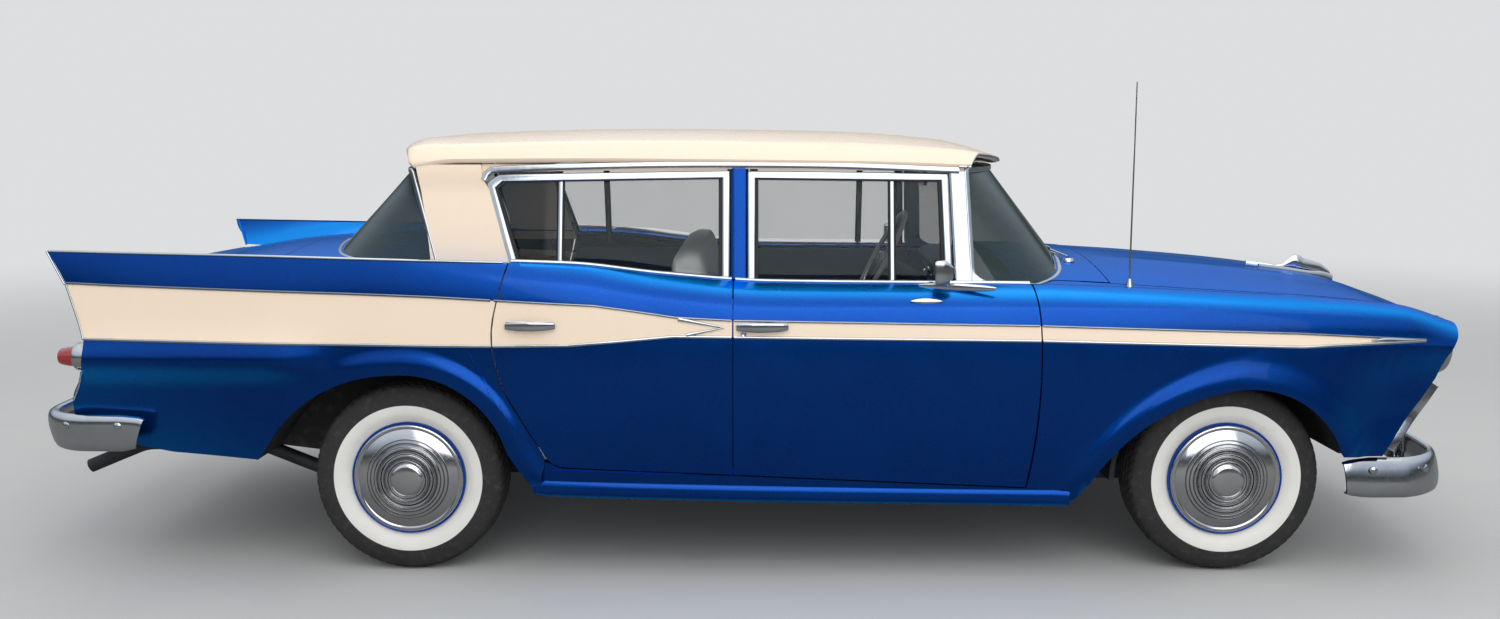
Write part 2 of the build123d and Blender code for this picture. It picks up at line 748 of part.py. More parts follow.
tail_inside = [(x + TAIL_PANEL_WALL, z) for x, z in reversed(TAIL)]
with BuildPart() as tail_wall:
    add(body_outer)
    add(
        side_slab([*TAIL, (TAIL[-1][0], 430), (TAIL[-1][0] + TAIL_PANEL_WALL, 430), *tail_inside]),
        mode=Mode.INTERSECT,
    )

with BuildPart() as lid_half:
    add(body_skin.part)
    add(block((TAIL[1][0] + 20, -LID_HALF, 900), (LID_FRONT_X, 0, 1200)), mode=Mode.INTERSECT)
    add(side_slab(tail_cut), mode=Mode.SUBTRACT)

with BuildPart() as lid_face:
    add(tail_wall.part)
    add(block((-2400, -LID_HALF, LID_FOOT_Z), (-2100, 0, 1000)), mode=Mode.INTERSECT)

with BuildPart() as trunk_lid:
    add(both_sides(lid_half.part))
    add(both_sides(lid_face.part))
save(trunk_lid.part, "trunk_lid")

with BuildPart() as tail_half:
    add(tail_wall.part)
    add(body_inner, mode=Mode.INTERSECT)
    add(block((-2400, -1000, LID_FOOT_Z - PANEL_GAP), (-2100, 0, 1200)), mode=Mode.SUBTRACT)

with BuildPart() as tail_ends:
    add(tail_wall.part)
    add(body_inner, mode=Mode.INTERSECT)
    add(block((-2400, -1000, LID_FOOT_Z - PANEL_GAP), (-2100, -lid_edge, 950)), mode=Mode.INTERSECT)

with BuildPart() as tail_panel:
    add(both_sides(tail_half.part))
    add(both_sides(tail_ends.part))
    add(lamp_bulge.part, mode=Mode.SUBTRACT)
    add(lamp_bulge.part.mirror(Plane.XZ), mode=Mode.SUBTRACT)
save(tail_panel.part, "tail_panel")

# Front fenders
hood_plan = [
    (HOOD_REAR_X, -HOOD_REAR_HALF),
    (HOOD_FRONT_X, -HOOD_FRONT_HALF),
    (HOOD_FRONT_X, 0),
    (HOOD_REAR_X, 0),
]
nose_cut = [*NOSE, (2600, 200), (2600, 1200), (2200, 1200)]
fender_edge = [(x + PANEL_GAP, z) for x, z in FRONT_DOOR_EDGE]

with BuildPart() as fender_plan:
    with BuildSketch():
        with BuildLine():
            Polyline(
                (800, -1000),
                (800, -DOOR_INNER_Y),
                (1018, -DOOR_INNER_Y),
                (1018, -HOOD_REAR_HALF - PANEL_GAP),
                (HOOD_REAR_X, -HOOD_REAR_HALF - PANEL_GAP),
                (HOOD_FRONT_X, -HOOD_FRONT_HALF - PANEL_GAP),
                (2600, -HOOD_FRONT_HALF - PANEL_GAP),
                (2600, -1000),
                close=True,
            )
        make_face()
    extrude(amount=1200)

with BuildPart() as front_fender:
    add(body_skin.part)
    add(flare(FRONT_ARCH, FRONT_AXLE_X))
    add(fender_plan.part, mode=Mode.INTERSECT)
    add(block((700, -1000, 0), (FRONT_DOOR_EDGE[0][0], 0, 1200)), mode=Mode.SUBTRACT)
    add(front_door_outline(-PANEL_GAP, -PANEL_GAP), mode=Mode.SUBTRACT)
    add(block((0, -1000, 0), (1035, 0, DOOR_FOOT_Z[1])), mode=Mode.SUBTRACT)
    add(side_slab(nose_cut), mode=Mode.SUBTRACT)
    add(arch_slab(FRONT_ARCH, FRONT_AXLE_X), mode=Mode.SUBTRACT)
    add(block((1950, -1000, 0), (2600, 0, 415)), mode=Mode.SUBTRACT)
    add(block((1000, -FLANGE_Y, 0), (2600, 0, 300)), mode=Mode.SUBTRACT)
save_pair(front_fender.part, "front_fender")

# The front panel between the fenders, with the lamp holes
nose_inside = [(x - NOSE_WALL, z) for x, z in reversed(NOSE[1:5])]
with BuildPart() as front_wall:
    add(body_inner)
    add(
        side_slab([*NOSE[1:5], *nose_inside]),
        mode=Mode.INTERSECT,
    )
    for lamp_y in HEADLAMP_Y:
        add(bar((2200, -lamp_y, HEADLAMP_Z), (2420, -lamp_y, HEADLAMP_Z), LENS_RADIUS + 4),
            mode=Mode.SUBTRACT)

with BuildPart() as front_panel:
    add(both_sides(front_wall.part))
save(front_panel.part, "front_panel")

with BuildPart() as headlamp_row:
    for lamp_x, lamp_y in zip(HEADLAMP_X, HEADLAMP_Y):
        bezel_back = (lamp_x - 12, -lamp_y, HEADLAMP_Z)
        bezel_front = (lamp_x + 16, -lamp_y, HEADLAMP_Z)
        bowl_back = (lamp_x - LAMP_DEPTH, -lamp_y, HEADLAMP_Z)
        lens_front = (lamp_x + 22, -lamp_y, HEADLAMP_Z)
        add(bar(bezel_back, bezel_front, BEZEL_RADIUS, BEZEL_RADIUS - 8))
        add(bar(bowl_back, lens_front, LENS_RADIUS))
    add(front_panel.part, mode=Mode.SUBTRACT)
    add(front_fender.part, mode=Mode.SUBTRACT)

with BuildPart() as headlamps:
    add(both_sides(headlamp_row.part))
save(headlamps.part, "headlamps")

with BuildPart() as tail_lamp:
    bezel_root = (TAIL_LAMP_ROOT, -TAIL_LAMP_Y, TAIL_LAMP_Z)
    lens_root = (TAIL_LAMP_RIM, -TAIL_LAMP_Y, TAIL_LAMP_Z)
    lens_tip = (TAIL_LAMP_TIP, -TAIL_LAMP_Y, TAIL_LAMP_Z)
    add(bar(bezel_root, lens_root, TAIL_LAMP_RADIUS + 8, TAIL_LAMP_RADIUS + 4))
    add(bar(lens_root, lens_tip, TAIL_LAMP_RADIUS, 12))
    add(quarter_panel.part, mode=Mode.SUBTRACT)
    add(tail_panel.part, mode=Mode.SUBTRACT)

with BuildPart() as tail_lamps:
    add(both_sides(tail_lamp.part))
save(tail_lamps.part, "tail_lamps")

# The grille: curved bars across and posts up, leaning back towards the foot
with BuildPart() as grille:
    for step in range(GRILLE_BARS):
        share = step / (GRILLE_BARS - 1)
        x = GRILLE_TOP[0] + share * (GRILLE_FOOT[0] - GRILLE_TOP[0])
        z = GRILLE_TOP[1] - 14 + share * (GRILLE_FOOT[1] - GRILLE_TOP[1])
        with BuildSketch(Plane.XY.offset(z - GRILLE_BAR_HEIGHT / 2)):
            with BuildLine():
                front = ThreePointArc((x - GRILLE_BOW, -GRILLE_HALF), (x, 0), (x - GRILLE_BOW, GRILLE_HALF))
                back = ThreePointArc(
                    (x - GRILLE_BOW - GRILLE_BAR_DEPTH, -GRILLE_HALF),
                    (x - GRILLE_BAR_DEPTH, 0),
                    (x - GRILLE_BOW - GRILLE_BAR_DEPTH, GRILLE_HALF),
                )
                Line(front @ 0, back @ 0)
                Line(front @ 1, back @ 1)
            make_face()
        extrude(amount=GRILLE_BAR_HEIGHT)
    for step in range(GRILLE_POSTS):
        y = GRILLE_HALF * (step / (GRILLE_POSTS - 1) * 1.96 - 0.98)
        inward = GRILLE_BOW * (y / GRILLE_HALF) ** 2 + 6
        with BuildSketch(Plane.XZ.offset(-y - 3)):
            Polygon(
                (GRILLE_TOP[0] - inward, GRILLE_TOP[1] - 14),
                (GRILLE_FOOT[0] - inward, GRILLE_FOOT[1] - 14),
                (GRILLE_FOOT[0] - inward - 16, GRILLE_FOOT[1] - 14),
                (GRILLE_TOP[0] - inward - 16, GRILLE_TOP[1] - 14),
                align=None,
            )
        extrude(amount=6)
save(grille.part, "grille")

# The hood with its ornament
with BuildPart() as hood_half:
    add(body_skin.part)
    with BuildSketch():
        with BuildLine():
            Polyline(*hood_plan, close=True)
        make_face()
    extrude(amount=1200, mode=Mode.INTERSECT)
    add(block((1000, -1000, 0), (2500, 0, 700)), mode=Mode.SUBTRACT)

with BuildPart() as hood_spear:
    with BuildSketch(Plane.XZ):
        Polygon(*ORNAMENT_OUTLINE, align=None)
    extrude(amount=ORNAMENT_HALF, both=True)

with BuildPart() as hood:
    add(both_sides(hood_half.part))
    add(hood_spear.part)
save(hood.part, "hood")

# The engine bay: firewall, cowl, inner fenders and radiator
with BuildPart() as cowl:
    add(body_skin.part)
    add(block((1018, -HOOD_REAR_HALF, 900), (HOOD_REAR_X - PANEL_GAP, 0, 1200)), mode=Mode.INTERSECT)

with BuildPart() as inner_fender:
    add(wheelhouse(FRONT_AXLE_X, FRONT_HOUSE_Y))
    add(
        side_slab(
            [
                (1018, 330),
                (FRONT_AXLE_X - 215, 330),
                (FRONT_AXLE_X - 195, 560),
                (FRONT_AXLE_X + 195, 560),
                (FRONT_AXLE_X + 215, 330),
                (2034, 400),
                (2034, 810),
                (1018, 880),
            ],
            FRONT_HOUSE_Y - 14,
            FRONT_HOUSE_Y,
        )
    )

with BuildPart() as engine_bay:
    add(both_sides(cowl.part))
    add(both_sides(inner_fender.part))
    add(block((1012, -700, 330), (1028, 700, 860)))
    add(block((1012, -634, 330), (1028, 634, 945)))
    add(block((1000, -170, 300), (1040, 170, 660)), mode=Mode.SUBTRACT)
    add(block((2012, -FRONT_HOUSE_Y, 400), (2034, FRONT_HOUSE_Y, 470)))
    add(block((1950, -330, 390), (2012, 330, 820)))
    add(block((2004, -FRONT_HOUSE_Y, 780), (2044, FRONT_HOUSE_Y, 822)))
    add(both_sides(block((1880, -900, 0), (2000, -340, 415))), mode=Mode.SUBTRACT)
    add(front_panel.part, mode=Mode.SUBTRACT)
    add(both_sides(front_fender.part), mode=Mode.SUBTRACT)
save(engine_bay.part, "engine_bay")

# The floor, with its tunnel, kick-up over the axle and boot floor
with BuildPart() as floor_pan:
    with BuildSketch(Plane.XZ):
        with BuildLine():
            Polyline(*FLOOR_LINE, *[(x, z + FLOOR_THICKNESS) for x, z in reversed(FLOOR_LINE)], close=True)
        make_face()
    extrude(amount=REAR_HOUSE_Y - 4, both=True)
    add(
        side_slab(
            [(1008, 540), (960, 330), (560, 292), (-500, 300), (-500, 314), (560, 306), (960, 344)],
            -INNER_EDGE_Y + 1,
            INNER_EDGE_Y - 1,
        )
    )
    with BuildSketch(Plane.YZ.offset(TUNNEL_REAR_X)):
        with BuildLine():
            Polyline((-130, 300), (-92, TUNNEL_TOP_Z), (92, TUNNEL_TOP_Z), (130, 300), close=True)
        make_face()
    extrude(amount=1011 - TUNNEL_REAR_X)
    for side in (-1, 1):
        add(block((-520, side * 460 - 30, 236), (1380, side * 460 + 30, 293)))
    with BuildSketch(Plane.YZ.offset(TUNNEL_REAR_X - 1)):
        with BuildLine():
            Polyline((-118, 270), (-82, TUNNEL_TOP_Z - 12), (82, TUNNEL_TOP_Z - 12), (118, 270), close=True)
        make_face()
    extrude(amount=1020 - TUNNEL_REAR_X, mode=Mode.SUBTRACT)
save(floor_pan.part, "floor_pan")


def seat(cushion, back, half):
    """A bench seat: a cushion and a leaning back, with rounded long edges."""
    with BuildPart() as bench:
        for outline in (cushion, back):
            with BuildSketch(Plane.XZ):
                with BuildLine():
                    FilletPolyline(*outline, radius=14, close=True)
                make_face()
            extrude(amount=half, both=True)
    return bench.part


with BuildPart() as front_seat:
    add(seat(FRONT_CUSHION, FRONT_BACK, SEAT_HALF))
    add(block((-200, -590, 313), (380, -560, 415)))
    add(block((-200, 560, 313), (380, 590, 415)))
save(front_seat.part, "front_seat")

with BuildPart() as rear_seat:
    add(seat(REAR_CUSHION, REAR_BACK, REAR_HOUSE_Y - 8))
save(rear_seat.part, "rear_seat")

# Dashboard with the steering column, and the steering wheel
column_way = Vector(-math.cos(math.radians(COLUMN_SLOPE)), 0, math.sin(math.radians(COLUMN_SLOPE)))
wheel_centre = Vector(*STEERING_CENTRE)
column_top = wheel_centre - column_way * (HUB_LENGTH + 2)
column_foot = wheel_centre - column_way * 330

with BuildPart() as dashboard:
    with BuildSketch(Plane.XZ):
        with BuildLine():
            FilletPolyline(
                *DASH_OUTLINE,
                radius=8,
                close=True,
            )
        make_face()
    extrude(amount=632, both=True)
    add(bar(tuple(column_foot), tuple(column_top), 24))
save(dashboard.part, "dashboard")

with BuildPart() as steering_wheel:
    with BuildSketch(Plane(origin=wheel_centre, x_dir=(0, 1, 0), z_dir=column_way)):
        Circle(30)
    extrude(amount=-HUB_LENGTH)
    with BuildSketch(Plane(origin=wheel_centre, x_dir=(0, 1, 0), z_dir=column_way)):
        Rectangle(2 * STEERING_RADIUS, 20)
    extrude(amount=-10)
    rim_centre = wheel_centre + Vector(0, STEERING_RADIUS, 0)
    with BuildSketch(Plane(origin=rim_centre, z_dir=column_way.cross(Vector(0, 1, 0)))):
        Circle(STEERING_RIM)
    revolve(axis=Axis(wheel_centre, column_way))
save(steering_wheel.part, "steering_wheel")

# Running gear
with BuildPart() as engine:
    with Locations(ENGINE_CENTRE):
        Box(*ENGINE_SIZE)
    add(bar((1130, 0, 500), (1040, 0, 480), 150, 110))
save(engine.part, "engine")

with BuildPart() as exhaust:
    with BuildLine() as pipe_line:
        FilletPolyline(*PIPE_ROUTE, radius=PIPE_BENDS)
    with BuildSketch(Plane(origin=PIPE_ROUTE[0], z_dir=Vector(*PIPE_ROUTE[1]) - Vector(*PIPE_ROUTE[0]))):
        Circle(PIPE_RADIUS)
    sweep(path=pipe_line.wire())
    add(bar((-600, -300, PIPE_Z), (-160, -300, PIPE_Z), SILENCER_RADIUS))
save(exhaust.part, "exhaust")

with BuildPart() as fuel_tank:
    add(block((-2050, -380, 330), (-1560, 380, 472)))
    fillet(fuel_tank.edges(), 24)
save(fuel_tank.part, "fuel_tank")

with BuildPart() as rear_axle:
    add(bar((REAR_AXLE_X, -690, TYRE_RADIUS), (REAR_AXLE_X, 690, TYRE_RADIUS), AXLE_TUBE_RADIUS))
    with Locations((REAR_AXLE_X, 0, TYRE_RADIUS)):
        Sphere(128)
    for side in (-1, 1):
        add(bar((REAR_AXLE_X, side * 698, TYRE_RADIUS), (REAR_AXLE_X, side * 692, TYRE_RADIUS), 126))
        add(bar((REAR_AXLE_X, side * 690, TYRE_RADIUS), (REAR_AXLE_X, side * 748, TYRE_RADIUS), 15))
        add(bar((REAR_AXLE_X, side * 480, TYRE_RADIUS), (REAR_AXLE_X, side * 480, 573), 55))
    add(bar((REAR_AXLE_X + 60, 0, TYRE_RADIUS), (-520, 0, 335), 45, 38))
    add(bar((-520, 0, 335), (1040, 0, 345), 34))
save(rear_axle.part, "rear_axle")

with BuildPart() as front_suspension:
    add(block((FRONT_AXLE_X - 90, -430, 200), (FRONT_AXLE_X + 90, 430, 330)))
    for side in (-1, 1):
        for z_in, z_out in [(215, 192), (500, 458)]:
            add(bar((FRONT_AXLE_X - 70, side * 425, z_in), (FRONT_AXLE_X, side * 655, z_out), 13))
            add(bar((FRONT_AXLE_X + 70, side * 425, z_in), (FRONT_AXLE_X, side * 655, z_out), 13))
        add(block((FRONT_AXLE_X - 85, side * 425 - 15, 330), (FRONT_AXLE_X + 85, side * 425 + 15, 520)))
        add(bar((FRONT_AXLE_X, side * 530, 478), (FRONT_AXLE_X, side * 530, 655), 44))
        add(block((FRONT_AXLE_X - 48, side * 530 - 50, 650), (FRONT_AXLE_X + 48, side * 530 + 50, 662)))
save(front_suspension.part, "front_suspension")

# Knuckles, tyres and wheels, each drawn on the right
with BuildPart() as knuckle:
    with Locations((FRONT_AXLE_X, -KINGPIN_Y, TYRE_RADIUS + 3)):
        Box(44, 28, 222)
    add(bar((FRONT_AXLE_X, -KINGPIN_Y, TYRE_RADIUS), (FRONT_AXLE_X, -698, TYRE_RADIUS), 30))
    add(bar((FRONT_AXLE_X, -692, TYRE_RADIUS), (FRONT_AXLE_X, -698, TYRE_RADIUS), 126))
    add(bar((FRONT_AXLE_X, -690, TYRE_RADIUS), (FRONT_AXLE_X, -748, TYRE_RADIUS), 15))
save_pair(knuckle.part, "knuckle")

with BuildPart() as tyre:
    with BuildSketch(Plane.YZ):
        with BuildLine():
            bead, flange, bulge, shoulder, corner, tread = TYRE_SIDE
            Line((0, bead[1]), bead)
            Line(bead, flange)
            ThreePointArc(flange, bulge, shoulder)
            ThreePointArc(shoulder, corner, tread)
            Line(tread, (0, TYRE_RADIUS))
            Line((0, TYRE_RADIUS), (0, bead[1]))
        make_face()
        mirror(about=Plane.YZ)
    revolve(axis=Axis.Y)

with BuildPart() as wheel:
    for profile in (RIM_PROFILE, DISC_PROFILE, CAP_PROFILE):
        with BuildSketch(Plane.YZ):
            with BuildLine():
                Polyline(*profile, close=True)
            make_face()
        revolve(axis=Axis.Y)

for name, axle_x in (("front", FRONT_AXLE_X), ("rear", REAR_AXLE_X)):
    with BuildPart() as placed_tyre:
        with Locations((axle_x, -TRACK_HALF, TYRE_RADIUS)):
            add(tyre.part)
    save_pair(placed_tyre.part, f"tyre_{name}")
    with BuildPart() as placed_wheel:
        with Locations((axle_x, -TRACK_HALF, TYRE_RADIUS)):
            add(wheel.part)
    save_pair(placed_wheel.part, f"wheel_{name}")


def bumper(sizes, way):
    """One wraparound bumper, its face towards the given end of the car."""
    centre_x, bend_x, bend_y, side_y, end_x, bottom, top = sizes
    with BuildPart() as blade:
        for inset, mode in ((0, Mode.ADD), (BUMPER_WALL, Mode.SUBTRACT)):
            with BuildSketch(Plane.XY.offset(bottom)):
                with BuildLine():
                    bend = bend_x - inset
                    face = ThreePointArc((bend, -bend_y), (centre_x - inset, 0), (bend, bend_y))
                    turn = TangentArc(face @ 1, (bend_x - BUMPER_TURN, side_y - inset), tangent=face % 1)
                    Polyline(
                        turn @ 1,
                        (end_x, side_y - inset + 4),
                        (end_x, -side_y + inset - 4),
                        (bend_x - BUMPER_TURN, -side_y + inset),
                    )
                    TangentArc(face @ 0, (bend_x - BUMPER_TURN, -side_y + inset), tangent=(face % 0) * -1)
                make_face()
            extrude(amount=top - bottom, mode=mode)
        if way < 0:
            mirror(about=Plane.YZ, mode=Mode.REPLACE)
    return blade.part


with BuildPart() as front_bumper:
    add(bumper(FRONT_BUMPER, 1))
    for side in (-1, 1):
        add(block((2350, side * 330 - 35, 274), (2424, side * 330 + 35, 470)))
        add(block((2084, side * 420 - 30, 300), (2385, side * 420 + 30, 350)))
    with Locations(Plane(origin=(2420, 0, 330), z_dir=(1, 0, 0), x_dir=(0, 1, 0))):
        Box(360, 70, 16)
        with GridLocations(PLATE_HOLE_SPACING, 1, 2, 1):
            Hole(PLATE_HOLE_RADIUS)
save(front_bumper.part, "front_bumper")

with BuildPart() as rear_bumper:
    add(bumper(REAR_BUMPER, -1))
    for side in (-1, 1):
        add(block((-2424, side * 330 - 35, 424), (-2350, side * 330 + 35, 612)))
        add(block((-2385, side * 420 - 30, 470), (TAIL[-1][0] - 0.5, side * 420 + 30, 516)))
save(rear_bumper.part, "rear_bumper")

with BuildPart() as antenna:
    x, y, z = ANTENNA_FOOT
    add(bar((x, y, z), (x, y, z + 28), 14, 8))
    add(bar((x, y, z + 28), (x, y, 1640), 3, 2))
save(antenna.part, "antenna")
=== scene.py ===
"""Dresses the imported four-door saloon: smooth body panels, bright trim, glass, wheels and a trimmed cabin.

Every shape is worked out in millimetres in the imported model's frame (+X forward, +Y to the car's left, +Z up)
and turned into metres as it becomes a mesh. Right-hand pieces are worked out first and mirrored to the left.
"""

from __future__ import annotations

import json
import logging
import math
from dataclasses import dataclass, field
from enum import Enum

import bpy
import numpy as np
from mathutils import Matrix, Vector

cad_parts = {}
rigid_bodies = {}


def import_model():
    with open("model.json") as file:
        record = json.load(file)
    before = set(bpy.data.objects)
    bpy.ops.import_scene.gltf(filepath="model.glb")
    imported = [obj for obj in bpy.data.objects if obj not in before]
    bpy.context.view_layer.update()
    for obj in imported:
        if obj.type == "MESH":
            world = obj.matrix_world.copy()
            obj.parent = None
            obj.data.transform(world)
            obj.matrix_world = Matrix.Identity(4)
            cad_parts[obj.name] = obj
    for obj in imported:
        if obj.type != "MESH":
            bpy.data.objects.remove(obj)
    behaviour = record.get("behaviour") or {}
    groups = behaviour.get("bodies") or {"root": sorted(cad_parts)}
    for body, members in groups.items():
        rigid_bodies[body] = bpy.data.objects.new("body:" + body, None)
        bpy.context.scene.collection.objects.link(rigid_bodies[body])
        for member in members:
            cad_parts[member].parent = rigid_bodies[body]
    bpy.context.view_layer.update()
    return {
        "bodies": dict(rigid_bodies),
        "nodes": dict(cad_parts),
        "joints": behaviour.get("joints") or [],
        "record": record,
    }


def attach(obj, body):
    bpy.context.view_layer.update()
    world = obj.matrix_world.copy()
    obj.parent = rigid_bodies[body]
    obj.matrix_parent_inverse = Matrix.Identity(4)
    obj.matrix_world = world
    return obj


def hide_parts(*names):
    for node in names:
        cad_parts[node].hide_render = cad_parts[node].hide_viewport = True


Array = np.ndarray
Line = np.ndarray | list | tuple  # points in an array or written out
LOG = logging.getLogger("saloon")


class Side(Enum):
    """Which side of the car a piece is on, as the sign of its Y."""

    RIGHT = -1
    LEFT = 1

    @property
    def word(self) -> str:
        """The side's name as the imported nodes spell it."""
        return self.name.lower()


# Numbers along a line


def lerp(a: Array | float, b: Array | float, t: Array | float) -> Array:
    """A straight mix of a and b."""
    return a + (b - a) * t


def smooth(t: Array) -> Array:
    """A rise from 0 to 1 that starts and ends level."""
    u = np.clip(t, 0.0, 1.0)
    return u * u * (3.0 - 2.0 * u)


def real(values: Line) -> Array:
    """Values as an array of real numbers."""
    return np.asarray(values, float)


def evenly(count: int) -> Array:
    """Even shares from 0 to 1."""
    return np.linspace(0, 1, count)


def dots(*columns: Array | float) -> Array:
    """Points from their coordinates, each an array or one number for all."""
    return np.stack(np.broadcast_arrays(*columns), -1)


def along(xs: Array, vs: Array, x: Array) -> Array:
    """Reads a table of values between its rows with no overshoot.

    The curve is a cubic between rows whose slope at each row is the harmonic mean of the slopes beside it.

    Args:
        xs: The rows' positions, rising.
        vs: One value, or one row of values, for each position.
        x: Where to read the table.

    Returns:
        The values at x.
    """
    xs = real(xs)
    vs = real(vs)
    step = np.diff(xs).reshape(-1, *([1] * (vs.ndim - 1)))
    slope = np.diff(vs, axis=0) / step
    before, after = slope[:-1], slope[1:]
    safe = np.where(before * after > 0, before + after, 1.0)
    middle = np.where(before * after > 0, 2 * before * after / safe, 0.0)
    tangent = np.concatenate([slope[:1], middle, slope[-1:]])
    x = np.clip(real(x), xs[0], xs[-1])
    i = np.clip(np.searchsorted(xs, x) - 1, 0, len(xs) - 2)
    wide = (xs[i + 1] - xs[i]).reshape(*x.shape, *([1] * (vs.ndim - 1)))
    t = (x - xs[i]).reshape(wide.shape) / wide
    a = (1 + 2 * t) * (1 - t) ** 2 * vs[i] + t * (1 - t) ** 2 * wide * tangent[i]
    return a + t * t * (3 - 2 * t) * vs[i + 1] + t * t * (t - 1) * wide * tangent[i + 1]


def spread(points: Line, count: int, curved: bool = False) -> Array:
    """Spaces points evenly along the line through some points.

    Args:
        points: The line's points, one row each.
        count: How many points to return.
        curved: Whether the line is a smooth curve through the points rather than straight between them.

    Returns:
        The evenly spaced points.
    """
    points = real(points)
    if curved and len(points) > 2:
        points = catmull(points, 24)
    reach = np.concatenate([[0.0], np.cumsum(np.linalg.norm(np.diff(points, axis=0), axis=1))])
    at = evenly(count) * reach[-1]
    return dots(*(np.interp(at, reach, column) for column in points.T))


def catmull(points: Line, fine: int, closed: bool = False) -> Array:
    """A smooth curve through points: between each two, a cubic whose ends point along the neighbours' chord.

    Args:
        points: The points, one row each.
        fine: How many steps between neighbouring points.
        closed: Whether the curve runs on from the last point to the first.

    Returns:
        The curve's points.
    """
    p = real(points)
    if closed:
        padded = np.concatenate([p[-1:], p, p[:2]])
    else:
        padded = np.concatenate([2 * p[:1] - p[1:2], p, 2 * p[-1:] - p[-2:-1]])
    a, b, c, d = padded[:-3, None], padded[1:-2, None], padded[2:-1, None], padded[3:, None]
    t = (np.arange(fine) / fine)[None, :, None]
    curve = 0.5 * (2 * b + (c - a) * t + (2 * a - 5 * b + 4 * c - d) * t**2 + (3 * b - a - 3 * c + d) * t**3)
    curve = curve.reshape(-1, p.shape[1])
    return curve if closed else np.concatenate([curve, p[-1:]])


def arc(start: Array, through: Array, end: Array, count: int) -> Array:
    """Points on the flat circle arc from start through a middle point to end."""
    a, b, c = (real(v) for v in (start, through, end))
    m = np.array([b - a, c - a])
    centre = a + np.linalg.solve(m, 0.5 * np.einsum("ij,ij->i", m, m))
    angle = np.unwrap([math.atan2(*(v - centre)[::-1]) for v in (a, b, c)])
    if abs(angle[2] - angle[0]) < abs(angle[1] - angle[0]):
        angle[2] += math.copysign(2 * math.pi, angle[1] - angle[0])
    turn = np.linspace(angle[0], angle[2], count)
    radius = np.linalg.norm(a - centre)
    return centre + radius * dots(np.cos(turn), np.sin(turn))


def tangent_arc(start: Array, way: Array, end: Array, count: int) -> Array:
    """Points on the flat circle arc that leaves start along way and reaches end."""
    p, q = real(start), real(end)
    t = real(way) / np.linalg.norm(way)
    normal = np.array([-t[1], t[0]])
    chord = q - p
    centre = p + normal * (chord @ chord) / (2 * (chord @ normal))
    a0 = math.atan2(*(p - centre)[::-1])
    a1 = math.atan2(*(q - centre)[::-1])
    turning = 1.0 if (centre - p) @ normal > 0 else -1.0
    a1 += 2 * math.pi * (turning > 0 and a1 < a0) - 2 * math.pi * (turning < 0 and a1 > a0)
    turn = np.linspace(a0, a1, count)
    return centre + np.linalg.norm(p - centre) * dots(np.cos(turn), np.sin(turn))


def distance_to(points: Array, line: Array) -> Array:
    """How far each point is from the nearest of a line's points."""
    gap = points[:, None, :] - line[None, :, :]
    return np.sqrt(np.einsum("ijk,ijk->ij", gap, gap).min(axis=1))


# Shapes


@dataclass
class Shape:
    """Vertices in millimetres and faces by index, before they become a mesh."""

    points: Array
    faces: list[list[int]]
    marks: dict[str, Array] = field(default_factory=dict)

    def __add__(self, other: Shape) -> Shape:
        """Both shapes as one."""
        shift = len(self.points)
        marks = {k: np.concatenate([v, other.marks[k]]) for k, v in self.marks.items() if k in other.marks}
        moved = [[i + shift for i in f] for f in other.faces]
        return Shape(np.concatenate([self.points, other.points]), self.faces + moved, marks)

    def __radd__(self, other: int) -> Shape:
        """The shape itself, so that sum() joins shapes."""
        return self

    def mirrored(self) -> Shape:
        """The shape on the other side of the car."""
        return Shape(self.points * (1, -1, 1), [f[::-1] for f in self.faces], dict(self.marks))

    def on(self, side: Side) -> Shape:
        """The shape as drawn for the right, or its mirror image for the left."""
        return self if side is Side.RIGHT else self.mirrored()

    def both(self) -> Shape:
        """The shape and its mirror image."""
        return self + self.mirrored()

    def turned(self) -> Shape:
        """The shape with its faces turned over."""
        return Shape(self.points, [f[::-1] for f in self.faces], dict(self.marks))

    def fans(self) -> list[tuple[Array, Array, Array]]:
        """The faces cut into triangles from their first corners, as arrays of first, second and third corners."""
        cut = []
        for size in {len(f) for f in self.faces}:
            ring = self.points[np.array([f for f in self.faces if len(f) == size])]
            cut += [(ring[:, 0], ring[:, k], ring[:, k + 1]) for k in range(1, size - 1)]
        return cut

    def facing(self, way: tuple[float, float, float]) -> Shape:
        """The shape with most of its area facing a way."""
        area = sum(np.cross(b - a, c - a).sum(axis=0) for a, b, c in self.fans())
        return self if float(area @ real(way)) > 0 else self.turned()

    def outward(self) -> Shape:
        """A closed shape with its faces turned to point out of it, by the sign of its volume."""
        middle = self.points.mean(axis=0)
        fans = [(a - middle, b - middle, c - middle) for a, b, c in self.fans()]
        volume = sum(float(np.einsum("ij,ij->", a, np.cross(b, c))) for a, b, c in fans)
        return self if volume > 0 else self.turned()


def sheet(grid: Array, closed_u: bool = False, closed_v: bool = False, **marks: Array) -> Shape:
    """A surface from a grid of points, one quad between each four neighbours.

    Args:
        grid: Points of shape (rows, columns, 3).
        closed_u: Whether the last row joins the first.
        closed_v: Whether the last column joins the first.
        marks: Named values, one for each grid point.

    Returns:
        The surface.
    """
    n, m = grid.shape[:2]
    index = np.arange(n * m).reshape(n, m)
    if closed_u:
        index = np.concatenate([index, index[:1]])
    if closed_v:
        index = np.concatenate([index, index[:, :1]], axis=1)
    quads = dots(index[:-1, :-1], index[1:, :-1], index[1:, 1:], index[:-1, 1:]).reshape(-1, 4)
    flat = {k: real(v).reshape(-1) for k, v in marks.items()}
    return Shape(grid.reshape(-1, 3).astype(float), quads.tolist(), flat)


